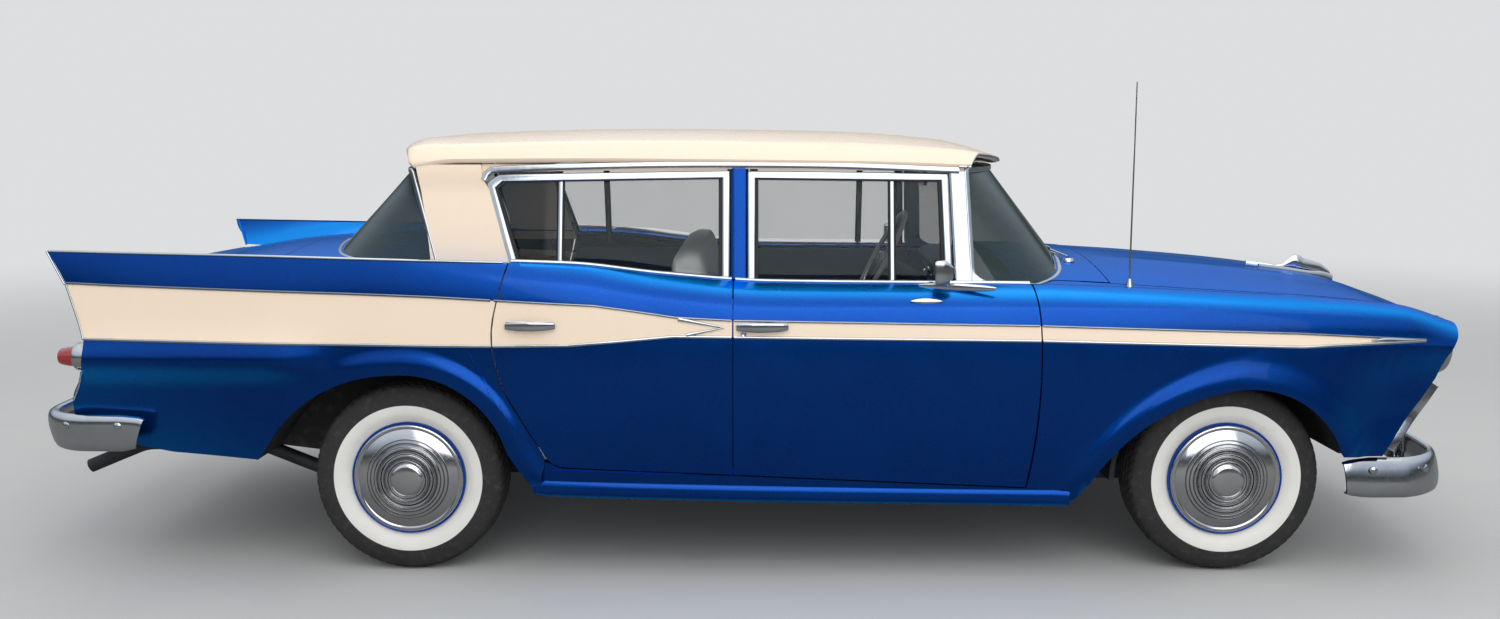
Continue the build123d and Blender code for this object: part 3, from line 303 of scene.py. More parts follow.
def capped(grid: Array, closed_u: bool = False) -> Shape:
    """A tube from a grid whose columns go round, with both ends filled.

    Args:
        grid: Points of shape (stations, round, 3).
        closed_u: Whether the tube is a ring, which has no ends to fill.

    Returns:
        The closed shape, facing outwards.
    """
    shape = sheet(grid, closed_u=closed_u, closed_v=True)
    if not closed_u:
        n, m = grid.shape[:2]
        shape.faces += [list(range(m))[::-1], list(range((n - 1) * m, n * m))]
    return shape.outward()


def carried(path: Line, profile: Array, out: Array, closed: bool = False, scale: Array | None = None) -> Shape:
    """A closed profile carried along a path.

    At each path point the profile's first number goes along the out direction and its second along the path's
    way crossed with out, both times the scale there.

    Args:
        path: The path's points.
        profile: The profile's points, going round once.
        out: The out direction, one for all or one for each path point.
        closed: Whether the path is a ring.
        scale: Two sizes for each path point, or none for the profile's own size.

    Returns:
        The solid bar along the path.
    """
    path = real(path)
    if closed:
        way = np.roll(path, -1, axis=0) - np.roll(path, 1, axis=0)
    else:
        way = np.gradient(path, axis=0)
    way /= np.linalg.norm(way, axis=1, keepdims=True) + 1e-9
    out = np.broadcast_to(real(out), path.shape)
    out = out - way * np.einsum("ij,ij->i", out, way)[:, None]
    out = out / (np.linalg.norm(out, axis=1, keepdims=True) + 1e-9)
    across = np.cross(way, out)
    size = np.ones((len(path), 2)) if scale is None else real(scale)
    profile = real(profile)
    first = profile[None, :, 0] * size[:, :1]
    second = profile[None, :, 1] * size[:, 1:]
    grid = path[:, None] + first[..., None] * out[:, None] + second[..., None] * across[:, None]
    return capped(grid, closed_u=closed)


def spun(profile: Array, centre: Array, axis: Array, count: int = 64, closed: bool = False) -> Shape:
    """A profile of (along, radius) turned about an axis through a centre.

    Args:
        profile: Distances along the axis and radii.
        centre: A point on the axis.
        axis: The axis's way.
        count: How many steps round.
        closed: Whether the profile's last point joins its first.

    Returns:
        The round surface, facing outwards when it is closed.
    """
    a = real(axis) / np.linalg.norm(axis)
    u = np.cross(a, (0, 0, 1) if abs(a[2]) < 0.9 else (1, 0, 0))
    u /= np.linalg.norm(u)
    v = np.cross(a, u)
    turn = np.linspace(0, 2 * np.pi, count, endpoint=False)
    ring = np.cos(turn)[:, None] * u + np.sin(turn)[:, None] * v
    profile = real(profile)
    grid = real(centre) + profile[None, :, :1] * a + profile[None, :, 1:] * ring[:, None]
    return sheet(grid, closed_u=True, closed_v=closed).outward()


def rounded(width: float, height: float, radius: float, steps: int = 4, base: float = 0.0) -> Array:
    """A rectangle's profile with round corners, its first number from base to base + width, its second centred."""
    radius = min(radius, width / 2 - 1e-3, height / 2 - 1e-3)
    turn = np.linspace(0, np.pi / 2, steps + 1)
    rim = []
    for k, (sx, sy) in enumerate(((1, 1), (-1, 1), (-1, -1), (1, -1))):
        cx, cy = sx * (width / 2 - radius), sy * (height / 2 - radius)
        angle = turn + k * np.pi / 2
        rim.append(dots(cx + radius * np.cos(angle), cy + radius * np.sin(angle)))
    return np.concatenate(rim) + (base + width / 2, 0)


def moulding(width: float, height: float) -> Array:
    """A bright strip's profile: flat-backed, with a crowned face that stands height proud, sunk 2 mm in."""
    across = np.linspace(-1, 1, 9)
    crown = dots(height * (1 - np.abs(across) ** 2.6) ** 0.5, across * width / 2)
    return np.concatenate([crown, [(-2.0, width / 2), (-2.0, -width / 2)]])


def tube(path: Array, radius: float | Array, count: int = 12) -> Shape:
    """A round bar along a path, with one radius or one for each point."""
    path = real(path)
    turn = np.linspace(0, 2 * np.pi, count, endpoint=False)
    way = path[-1] - path[0]
    out = (0, 0, 1) if abs(way[2]) < 0.8 * np.linalg.norm(way) else (1, 0, 0)
    size = np.broadcast_to(real(radius).reshape(-1, 1), (len(path), 2))
    return carried(path, dots(np.cos(turn), np.sin(turn)), out, scale=size)


def thick(grid: Array, depth: float, roll: float = 2.5, **marks: Array) -> Shape:
    """A panel of even thickness under a grid of outer points.

    The inner grid is the outer one moved back along its normals by depth. The outermost ring of the outer grid
    is pushed back by roll, so that the panel's edge turns in at a shut line.

    Args:
        grid: The outer surface's points, of shape (rows, columns, 3).
        depth: The panel's thickness, taken to the side away from the grid's own normals.
        roll: How far the edge turns in.
        marks: Named values, one for each grid point.

    Returns:
        The closed panel.
    """
    normal = grid_normals(grid)
    outer = np.pad(grid, ((1, 1), (1, 1), (0, 0)), mode="edge")
    facing = np.pad(normal, ((1, 1), (1, 1), (0, 0)), mode="edge")
    back = np.zeros(outer.shape[:2])
    back[[0, -1], :] = roll
    back[:, [0, -1]] = roll
    top = outer - facing * back[..., None]
    under = outer - facing * depth
    padded = {k: np.pad(real(v), 1, mode="edge") for k, v in marks.items()}
    shape = sheet(top, **padded) + sheet(under, **padded).turned()
    n, m = top.shape[:2]
    index = np.arange(n * m).reshape(n, m)
    ring = np.concatenate([index[0, :-1], index[:-1, -1], index[-1, :0:-1], index[:0:-1, 0]])
    nxt = np.roll(ring, -1)
    wall = dots(nxt, ring, ring + n * m, nxt + n * m)
    shape.faces += wall.tolist()
    return shape


def grid_normals(grid: Array) -> Array:
    """Unit normals of a grid: the way down the rows crossed with the way along the columns."""
    normal = np.cross(np.gradient(grid, axis=0), np.gradient(grid, axis=1))
    return normal / (np.linalg.norm(normal, axis=-1, keepdims=True) + 1e-9)


def toward(grid: Array, way: tuple[float, float, float]) -> Array:
    """The grid, with its columns turned round where its normals point away from a way."""
    return grid if (grid_normals(grid) @ real(way)).mean() > 0 else grid[:, ::-1]


def coons(low: Array, high: Array, first: Array, last: Array) -> Array:
    """A smooth net between four edge lines.

    Each point is the mix of the low and high edges plus the mix of the first and last edges, less the mix of
    the four corners.

    Args:
        low: The edge at row share 0, of shape (columns, k).
        high: The edge at row share 1.
        first: The edge at column share 0, of shape (rows, k).
        last: The edge at column share 1.

    Returns:
        The net's points, of shape (rows, columns, k).
    """
    v = np.linspace(0, 1, len(first))[:, None, None]
    u = np.linspace(0, 1, len(low))[None, :, None]
    corners = (1 - v) * ((1 - u) * low[0] + u * low[-1]) + v * ((1 - u) * high[0] + u * high[-1])
    return lerp(low[None], high[None], v) + lerp(first[:, None], last[:, None], u) - corners


# Finishes


class Sock:
    """A shader socket whose arithmetic adds Math nodes."""

    def __init__(self, shader: Shader, socket: bpy.types.NodeSocket) -> None:
        self.shader = shader
        self.socket = socket

    def _math(self, kind: str, *values: Sock | float) -> Sock:
        """One Math node over some values."""
        return self.shader.node("Math", {"operation": kind}, dict(enumerate(values)))

    def __add__(self, other: Sock | float) -> Sock:
        """Sum."""
        return self._math("ADD", self, other)

    __radd__ = __add__

    def __mul__(self, other: Sock | float) -> Sock:
        """Product."""
        return self._math("MULTIPLY", self, other)

    __rmul__ = __mul__

    def __sub__(self, other: Sock | float) -> Sock:
        """Difference."""
        return self._math("SUBTRACT", self, other)

    def __rsub__(self, other: Sock | float) -> Sock:
        """Difference from a value."""
        return self._math("SUBTRACT", other, self)

    def rise(self, low: float, high: float) -> Sock:
        """A smooth rise from 0 at low to 1 at high."""
        inputs = {0: self, 1: low, 2: high, 3: 0.0, 4: 1.0}
        return self.shader.node("MapRange", {"interpolation_type": "SMOOTHSTEP"}, inputs)

    def clamped(self) -> Sock:
        """The value kept between 0 and 1."""
        return self.shader.node("Clamp", {}, {0: self})


class Shader:
    """One material, or the world, and the nodes in it."""

    def __init__(self, name: str, world: bpy.types.World | None = None) -> None:
        self.material = world or bpy.data.materials.new(f"{name}_finish")
        self.material.use_nodes = True
        self.tree = self.material.node_tree
        self.tree.nodes.clear()
        self.coords = self.node("TexCoord", {}, {}, "Generated" if world else "Object")

    def node(self, kind: str, settings: dict, inputs: dict, output: str | int = 0) -> Sock:
        """Adds a node.

        Args:
            kind: The node's type, less its usual prefix.
            settings: Its own settings, set before its sockets.
            inputs: Values or sockets by input name or number.
            output: Which output to return.

        Returns:
            The output.
        """
        made = self.tree.nodes.new(f"ShaderNode{kind}")
        for key, value in settings.items():
            if key == "stops":
                self._stops(made.color_ramp, value)
            else:
                setattr(made, key, value)
        for key, value in inputs.items():
            if isinstance(value, Sock):
                self.tree.links.new(value.socket, made.inputs[key])
            else:
                made.inputs[key].default_value = value
        return Sock(self, made.outputs[output])

    @staticmethod
    def _stops(ramp: bpy.types.ColorRamp, stops: list) -> None:
        """Gives a colour ramp its stops."""
        while len(ramp.elements) < len(stops):
            ramp.elements.new(1.0)
        for element, (place, colour) in zip(ramp.elements, stops):
            element.position = place
            element.color = (*colour, 1)

    def noise(self, scale: float, detail: float = 2.0, stretch: tuple | None = None) -> Sock:
        """Smooth noise over the piece's own place, with scale in waves a metre."""
        at = self.coords
        if stretch:
            at = self.node("Mapping", {}, {"Vector": at, "Scale": stretch})
        return self.node("TexNoise", {}, {"Vector": at, "Scale": scale, "Detail": detail})

    def wave(self, scale: float, way: str = "X") -> Sock:
        """Even ribs across one way, with scale in ribs a metre."""
        settings = {"wave_type": "BANDS", "bands_direction": way}
        return self.node("TexWave", settings, {"Vector": self.coords, "Scale": scale / math.tau * 2})

    def mark(self, name: str) -> Sock:
        """A named value that the mesh carries."""
        return self.node("Attribute", {"attribute_name": name}, {}, "Fac")

    def mix(self, share: Sock | float, first: tuple | Sock, second: tuple | Sock) -> Sock:
        """A mix of two colours."""
        pick = {"data_type": "RGBA"}
        colours = [c if isinstance(c, Sock) else (*c, 1) for c in (first, second)]
        return self.node("Mix", pick, {0: share, 6: colours[0], 7: colours[1]}, 2)

    def bump(self, height: Sock, depth: float, strength: float = 1.0) -> Sock:
        """A surface relief of some depth in metres."""
        return self.node("Bump", {}, {"Height": height, "Distance": depth, "Strength": strength})

    def end(self, last: Sock, kind: str = "OutputMaterial") -> None:
        """Joins the last node to the tree's output."""
        self.tree.links.new(last.socket, self.tree.nodes.new(f"ShaderNode{kind}").inputs["Surface"])

    def surface(self, **inputs: Sock | float | tuple) -> Shader:
        """Ends the material in a Principled shader whose inputs are named with underscores for spaces."""
        named = {key.replace("_", " "): value for key, value in inputs.items()}
        for key in ("Base Color", "Emission Color", "Coat Tint", "Sheen Tint"):
            if isinstance(named.get(key), tuple):
                named[key] = (*named[key], 1)
        self.end(self.node("BsdfPrincipled", {}, named))
        return self


BLUE = (0.001, 0.050, 0.290)
BLUE_DEEP = (0.001, 0.030, 0.215)
# Painted highlight: the azure the paint turns to where it faces away from the view, standing in for sky light on the
# shoulders and tops.
BLUE_PAINTED_HIGHLIGHT = (0.001, 0.235, 0.700)
BLUE_FLAKE = (0.002, 0.300, 0.800)
BLUE_EDGE = (0.050, 0.330, 0.800)
CREAM = (0.900, 0.740, 0.580)
FLAKE_METAL = 0.93


@dataclass(frozen=True)
class BodyPaint:
    """Metallic blue lacquer with flake, and cream where a mesh's marks say."""

    name: str = "body_paint"
    slot: str = "body_paint"
    two_tone: bool = False
    all_cream: bool = False

    def make(self) -> bpy.types.Material:
        """The lacquer: a cloudy base, a painted highlight of paler azure blue where it faces away from the view,
        flake, a rippled coat and cream by the marks.
        """
        s = Shader(self.name)
        cloud = s.noise(2.2, 3.0)
        flake = s.node("TexVoronoi", {}, {"Vector": s.coords, "Scale": 1400.0}, "Color")
        sparkle = s.node("SeparateColor", {}, {0: flake}, 0).rise(0.55, 1.0)
        blue = s.mix(cloud, BLUE_DEEP, BLUE)
        # Painted highlight: a view-facing mask turns the blue azure on the shoulders and tops, in place of the sky's
        # light on them.
        turned = s.node("LayerWeight", {}, {"Blend": 0.5}, "Facing").rise(0.13, 0.44)
        blue = s.mix(sparkle * 0.15, s.mix(turned, blue, BLUE_PAINTED_HIGHLIGHT), BLUE_FLAKE)
        peel = s.bump(s.noise(260.0, 1.0), 0.00001, 0.1)
        cream = s.mix(cloud, tuple(0.94 * c for c in CREAM), CREAM)
        metal: Sock | float = FLAKE_METAL
        if self.all_cream:
            colour, metal = cream, 0.0
        elif self.two_tone:
            share = s.mark("above_low").rise(-0.5, 0.5) * s.mark("below_high").rise(-0.5, 0.5)
            colour = s.mix(share, blue, cream)
            metal = FLAKE_METAL - share * FLAKE_METAL
        else:
            colour = blue
        rough = 0.24 + s.noise(9.0, 4.0) * 0.08
        return s.surface(
            Base_Color=colour, Metallic=metal, Roughness=rough, Normal=peel, Specular_IOR_Level=0.15,
            Specular_Tint=(1.0, 1.0, 1.0, 1.0) if self.all_cream else (*BLUE_EDGE, 1.0),
            Coat_Weight=0.25, Coat_Roughness=0.03, Coat_IOR=1.4,
        ).material


@dataclass(frozen=True)
class Metal:
    """A bare or plated metal with smudges and fine scratches."""

    name: str
    slot: str
    colour: tuple = (0.78, 0.79, 0.80)
    dark: tuple = (0.55, 0.57, 0.60)
    rough: float = 0.07
    spread: float = 0.14
    metallic: float = 1.0
    grain: float = 0.0
    rings: float = 0.0
    band: tuple = (62.0, 136.0)

    def make(self) -> bpy.types.Material:
        """Cloudy colour and roughness, a fine grain on cast metal, and turned rings in a band of radii, painted dark
        over their ribbed relief.
        """
        s = Shader(self.name)
        cloud = s.noise(14.0, 5.0)
        smudge = s.noise(55.0, 6.0).rise(0.42, 0.75)
        rough = self.rough + cloud * (self.spread * 0.4) + smudge * (self.spread * 0.6)
        grain = s.bump(s.noise(900.0 if self.grain < 0.0002 else 300.0, 3.0), max(self.grain, 0.00001), 0.4)
        colour = s.mix(cloud, self.dark, self.colour)
        if self.rings:
            radius = s.mark("radius")
            low, high = self.band
            turned = radius.rise(low, low + 4.0) * (1 - radius.rise(high, high + 4.0))
            ring = s.node("Math", {"operation": "SINE"}, {0: radius * self.rings}).rise(0.0, 0.8) * turned
            # Darkens the chrome nearly to black in each ring across the band.
            colour = s.mix(ring * 0.85, colour, (0.10, 0.10, 0.11))
            grain = s.bump(ring, 0.001, 0.8)
        return s.surface(Base_Color=colour, Metallic=self.metallic, Roughness=rough, Normal=grain).material


@dataclass(frozen=True)
class Hide:
    """Vinyl, rubber, carpet or moulded plastic: a dull skin with its own grain."""

    name: str
    slot: str
    colour: tuple
    dark: tuple
    rough: float = 0.55
    grain_scale: float = 420.0
    grain_depth: float = 0.0004
    dust: float = 0.0
    coat: float = 0.0

    def make(self) -> bpy.types.Material:
        """A pebbled grain, cloudy colour, and pale dust where the piece has lain open."""
        s = Shader(self.name)
        cloud = s.noise(7.0, 4.0)
        cells = s.node("TexVoronoi", {}, {"Vector": s.coords, "Scale": self.grain_scale}, "Distance")
        colour = s.mix(cloud, self.dark, self.colour)
        colour = s.mix(s.noise(30.0, 6.0).rise(0.45, 0.8) * self.dust, colour, (0.42, 0.38, 0.32))
        rough = self.rough + cloud * 0.15
        return s.surface(
            Base_Color=colour, Roughness=rough, Normal=s.bump(cells, self.grain_depth, 0.5), Coat_Weight=self.coat
        ).material


@dataclass(frozen=True)
class Woven:
    """Seat cloth: two crossing sets of threads, with a paler fleck."""

    name: str
    slot: str
    colour: tuple
    dark: tuple
    threads: float = 900.0

    def make(self) -> bpy.types.Material:
        """Threads along and across, their crossings raised, with flecks of a paler yarn."""
        s = Shader(self.name)
        weave = s.wave(self.threads, "X") * s.wave(self.threads, "Y") + s.wave(self.threads, "Z") * 0.5
        fleck = s.noise(700.0, 1.0).rise(0.56, 0.7)
        colour = s.mix((weave * 0.6 + s.noise(5.0, 3.0) * 0.4).clamped(), self.dark, self.colour)
        colour = s.mix(fleck * 0.35, colour, (0.85, 0.85, 0.82))
        return s.surface(
            Base_Color=colour, Roughness=0.85, Normal=s.bump(weave, 0.0006, 0.6), Sheen_Weight=0.3
        ).material


@dataclass(frozen=True)
class Glazing:
    """Car glass: clear and slightly green, more of a mirror towards its edges-on views."""

    name: str = "glass"
    slot: str = "glass"
    tint: tuple = (0.012, 0.026, 0.021)
    clear: float = 0.14

    def make(self) -> bpy.types.Material:
        """Alpha rises from the tint's own share to nearly solid where the glass turns away, under faint smears."""
        s = Shader(self.name)
        away = s.node("LayerWeight", {}, {"Blend": 0.5}, "Facing")
        smear = s.noise(6.0, 5.0, (1.0, 1.0, 0.3)).rise(0.55, 0.9)
        alpha = (self.clear + away * away * away * 0.7 + smear * 0.03).clamped()
        rough = 0.02 + smear * 0.05
        colour = s.mix(smear * 0.3, self.tint, (0.06, 0.08, 0.075))
        return s.surface(Base_Color=colour, Roughness=rough, Alpha=alpha, IOR=1.5, Specular_IOR_Level=0.8).material


@dataclass(frozen=True)
class Lens:
    """A moulded lamp lens with ribs."""

    name: str
    slot: str
    colour: tuple
    ribs: float = 180.0
    way: str = "Y"
    glow: float = 0.0

    def make(self) -> bpy.types.Material:
        """Fine moulded ribs under a hard gloss."""
        s = Shader(self.name)
        ribs = s.wave(self.ribs, self.way)
        colour = s.mix(ribs * 0.6, self.colour, tuple(0.55 * c for c in self.colour))
        return s.surface(
            Base_Color=colour, Roughness=0.08 + s.noise(40.0) * 0.06, Normal=s.bump(ribs, 0.0012, 0.8),
            Coat_Weight=1.0, Coat_Roughness=0.02, Emission_Color=self.colour, Emission_Strength=self.glow,
        ).material


@dataclass(frozen=True)
class Tyre:
    """Tyre rubber, with a white band on the sidewall between two radii where a mesh's mark says."""

    name: str = "tyre_rubber"
    slot: str = "tyre"
    white: tuple = (190.0, 249.0)

    def make(self) -> bpy.types.Material:
        """Black rubber with mould rings and road dust, and a slightly aged white band."""
        s = Shader(self.name)
        radius = s.mark("radius")
        low, high = self.white
        white = radius.rise(low, low + 1.5) * (1 - radius.rise(high, high + 1.5)) * s.mark("outer").rise(0.4, 0.6)
        cloud = s.noise(12.0, 5.0)
        black = s.mix(cloud, (0.013, 0.013, 0.014), (0.030, 0.029, 0.028))
        black = s.mix(s.noise(45.0, 6.0).rise(0.5, 0.8) * 0.35, black, (0.10, 0.09, 0.08))
        pale = s.mix(cloud, (0.72, 0.70, 0.65), (0.82, 0.81, 0.78))
        rings = s.node("Math", {"operation": "SINE"}, {0: radius * 1.6})
        return s.surface(
            Base_Color=s.mix(white, black, pale), Roughness=0.62 + cloud * 0.2 - white * 0.15,
            Normal=s.bump(rings + s.noise(500.0), 0.0002, 0.3),
        ).material


class Finish(Enum):
    """Every finish on the car."""

    BLUE = BodyPaint()
    SPEAR = BodyPaint("body_paint_spear", two_tone=True)
    CREAM = BodyPaint("roof_paint", "roof_paint", all_cream=True)
    CHROME = Metal("chrome", "chrome", (0.62, 0.63, 0.65), (0.44, 0.46, 0.48), 0.06)
    CAP = Metal("turned_chrome", "chrome", (0.70, 0.70, 0.70), (0.52, 0.52, 0.53), 0.08, rings=0.52)
    DARK_CHROME = Metal("chrome_shadow", "chrome", (0.34, 0.36, 0.38), (0.20, 0.21, 0.24), 0.12)
    RIM_BLUE = Metal("rim_paint", "rim_paint", (0.004, 0.06, 0.36), (0.002, 0.04, 0.26), 0.2, 0.1, 0.3)
    IRON = Metal("cast_iron", "cast_iron", (0.075, 0.080, 0.085), (0.030, 0.030, 0.032), 0.5, 0.3, 0.7, 0.0006)
    STEEL = Metal("bare_steel", "bare_steel", (0.40, 0.38, 0.36), (0.22, 0.20, 0.19), 0.38, 0.3, 0.9, 0.0002)
    UNDERBODY = Hide("underbody", "underbody", (0.018, 0.018, 0.019), (0.008, 0.008, 0.009), 0.8, 260, 0.0006, 0.06)
    RUBBER = Hide("seal_rubber", "seal", (0.014, 0.014, 0.015), (0.008, 0.008, 0.009), 0.6)
    TYRE = Tyre()
    CLOTH = Woven("seat_cloth", "seat_cloth", (0.050, 0.120, 0.250), (0.020, 0.050, 0.120))
    BOLSTER = Hide("seat_bolster", "seat_bolster", (0.62, 0.63, 0.62), (0.50, 0.51, 0.51), 0.42, coat=0.1)
    TRIM = Hide("interior_trim", "interior_trim", (0.045, 0.105, 0.210), (0.025, 0.060, 0.130), 0.45, coat=0.1)
    HEADLINING = Hide("headlining", "interior_trim", (0.52, 0.50, 0.46), (0.44, 0.42, 0.39), 0.85, 900, 0.0003)
    CARPET = Hide("carpet", "interior_trim", (0.035, 0.050, 0.080), (0.016, 0.022, 0.040), 0.95, 700, 0.002, 0.2)
    WHEEL_PLASTIC = Hide("wheel_rim_plastic", "wheel_rim_plastic", (0.60, 0.60, 0.56), (0.5, 0.5, 0.47), 0.25,
                         coat=0.6)
    GLASS = Glazing()
    TINTED = Glazing("tinted_glass", "glass", (0.010, 0.030, 0.024), 0.46)
    LAMP_GLASS = Lens("lamp_glass", "lamp_glass", (0.62, 0.66, 0.68), 140.0)
    RED_LENS = Lens("red_lens", "red_lens", (0.34, 0.008, 0.008), 260.0, "Z", 0.05)
    PLATE = Metal("blank_plate", "bare_steel", (0.70, 0.68, 0.60), (0.62, 0.60, 0.53), 0.35, 0.2, 0.0, 0.0001)

    @property
    def material(self) -> bpy.types.Material:
        """The finish's material, made once."""
        return bpy.data.materials.get(f"{self.value.name}_finish") or self.value.make()


def piece(
    name: str, shape: Shape, finish: Finish, *nodes: str, body: str = "body", **options: float
) -> bpy.types.Object:
    """Makes a mesh object from a shape, dresses it and sets it on its body.

    Args:
        name: The piece's name.
        shape: The shape, in millimetres.
        finish: Its finish.
        nodes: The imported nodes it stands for.
        body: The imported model's body that it rides on.
        options: bevel in millimetres, levels of subdivision, and angle in degrees below which edges are smooth.

    Returns:
        The new object.
    """
    mesh = bpy.data.meshes.new(name)
    mesh.from_pydata((shape.points / 1000).tolist(), [], shape.faces)
    mesh.validate()
    for key, values in shape.marks.items():
        if len(values) == len(mesh.vertices):
            mesh.attributes.new(key, "FLOAT", "POINT").data.foreach_set("value", np.asarray(values, np.float32))
    mesh.shade_smooth()
    mesh.set_sharp_from_angle(angle=math.radians(options.get("angle", 38)))
    obj = bpy.data.objects.new(name, mesh)
    bpy.context.scene.collection.objects.link(obj)
    mesh.materials.append(finish.material)
    if options.get("bevel"):
        bevel = obj.modifiers.new("round", "BEVEL")
        bevel.width, bevel.segments, bevel.limit_method = options["bevel"] / 1000, 2, "ANGLE"
    if options.get("levels"):
        subdivide = obj.modifiers.new("smooth", "SUBSURF")
        subdivide.levels = subdivide.render_levels = int(options["levels"])
    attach(obj, body)
    if nodes:
        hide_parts(*nodes)
    LOG.info("%s: %d faces on %s", name, len(mesh.polygons), body)
    return obj


# The body's and the glasshouse's surfaces

# The lower body's stations, and its half widths and heights at each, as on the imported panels
STATION_X = (-2345, -2060, -1700, -1150, -600, -280, 60, 940, 1600, 2150, 2350)
STATION_VALUES = {
    "floor_z": (430, 415, 390, 330, 292, 279, 271, 252, 243, 240, 240),
    "sill_y": (770, 795, 822, 850, 875, 882, 885, 880, 868, 855, 840),
    "low_y": (835, 853, 874, 892, 903, 906, 907, 904, 893, 876, 858),
    "low_z": (797, 796, 792, 786, 790, 803, 812, 803, 788, 778, 772),
    "high_y": (815, 835, 858, 880, 897, 899, 900, 897, 884, 868, 852),
    "high_z": (984, 977, 966, 947, 918, 886, 866, 850, 831, 813, 798),
    "top_y": (798, 809, 822, 842, 822, 796, 777, 776, 778, 776, 770),
    "top_z": (1087, 1081, 1074, 1061, 1045, 1008, 982, 973, 947, 908, 848),
    "bulge": (2, 2, 3, 6, 14, 20, 25, 28, 31, 30, 16),
    "edge_y": (690, 696, 704, 720, 730, 722, 719, 700, 662, 645, 630),
    "edge_z": (962, 988, 1020, 1044, 1035, 1000, 974, 966, 932, 890, 834),
    "valley": (-8, -8, -7, -3, -2, 1, 2, 3, 4, 5, 5),
    "crown_z": (962, 1012, 1066, 1088, 1070, 1052, 1036, 1042, 1000, 935, 872),
}
SILL_BULGE = 14
AXLE_X = {"front": 1595, "rear": -1148}
WHEEL_Z = 322
WHEEL_Y = 735
ARCHES = {
    "front": ((-560, 200), (-462, 345), (-271, 539), (0, 642), (264, 559), (363, 396), (385, 200)),
    "rear": ((-570, 300), (-464, 437), (-278, 618), (-20, 688), (193, 636), (347, 423), (480, 220)),
}
LAMP_X, LAMP_Z = -2202, 735
SPEAR_TIP_X = 2213
LIP_FOOT_Z = 262
# The lamp bulge's middle and radius, at the lamp and a length ahead of it
BULGE_Y, BULGE_RADIUS, BULGE_LENGTH = (816.0, 850.0), (48.0, 52.0), 640
NOSE_X, TUCK, LEDGE, RIDGE = 1880, 24, 10, 9
FLARE_WIDTH = 58
FLARE_RISE = 15
UPPER_LINE = (
    (-2260, 981), (-1041, 944), (-835, 933), (-508, 917), (-390, 901), (-240, 879), (-50, 869), (945, 852),
    (1796, 825), (SPEAR_TIP_X, 803),
)
LOWER_LINE = (
    (-2198, 799), (-1046, 784), (-839, 783), (-589, 787), (-431, 800), (-248, 817), (-52, 815), (946, 803),
    (1799, 781), (SPEAR_TIP_X, 799),
)


def arch_line(end: str) -> Array:
    """One wheel opening's edge on the side view: an arc up to its top and an arc down, with straight feet."""
    p = real(ARCHES[end]) + (AXLE_X[end], 0)
    rise, fall = arc(p[1], p[2], p[3], 40), arc(p[3], p[4], p[5], 40)
    return np.concatenate([lerp(p[0], p[1], evenly(9)[:-1, None]), rise[:-1], fall,
                           lerp(p[5], p[6], evenly(9)[1:, None])])


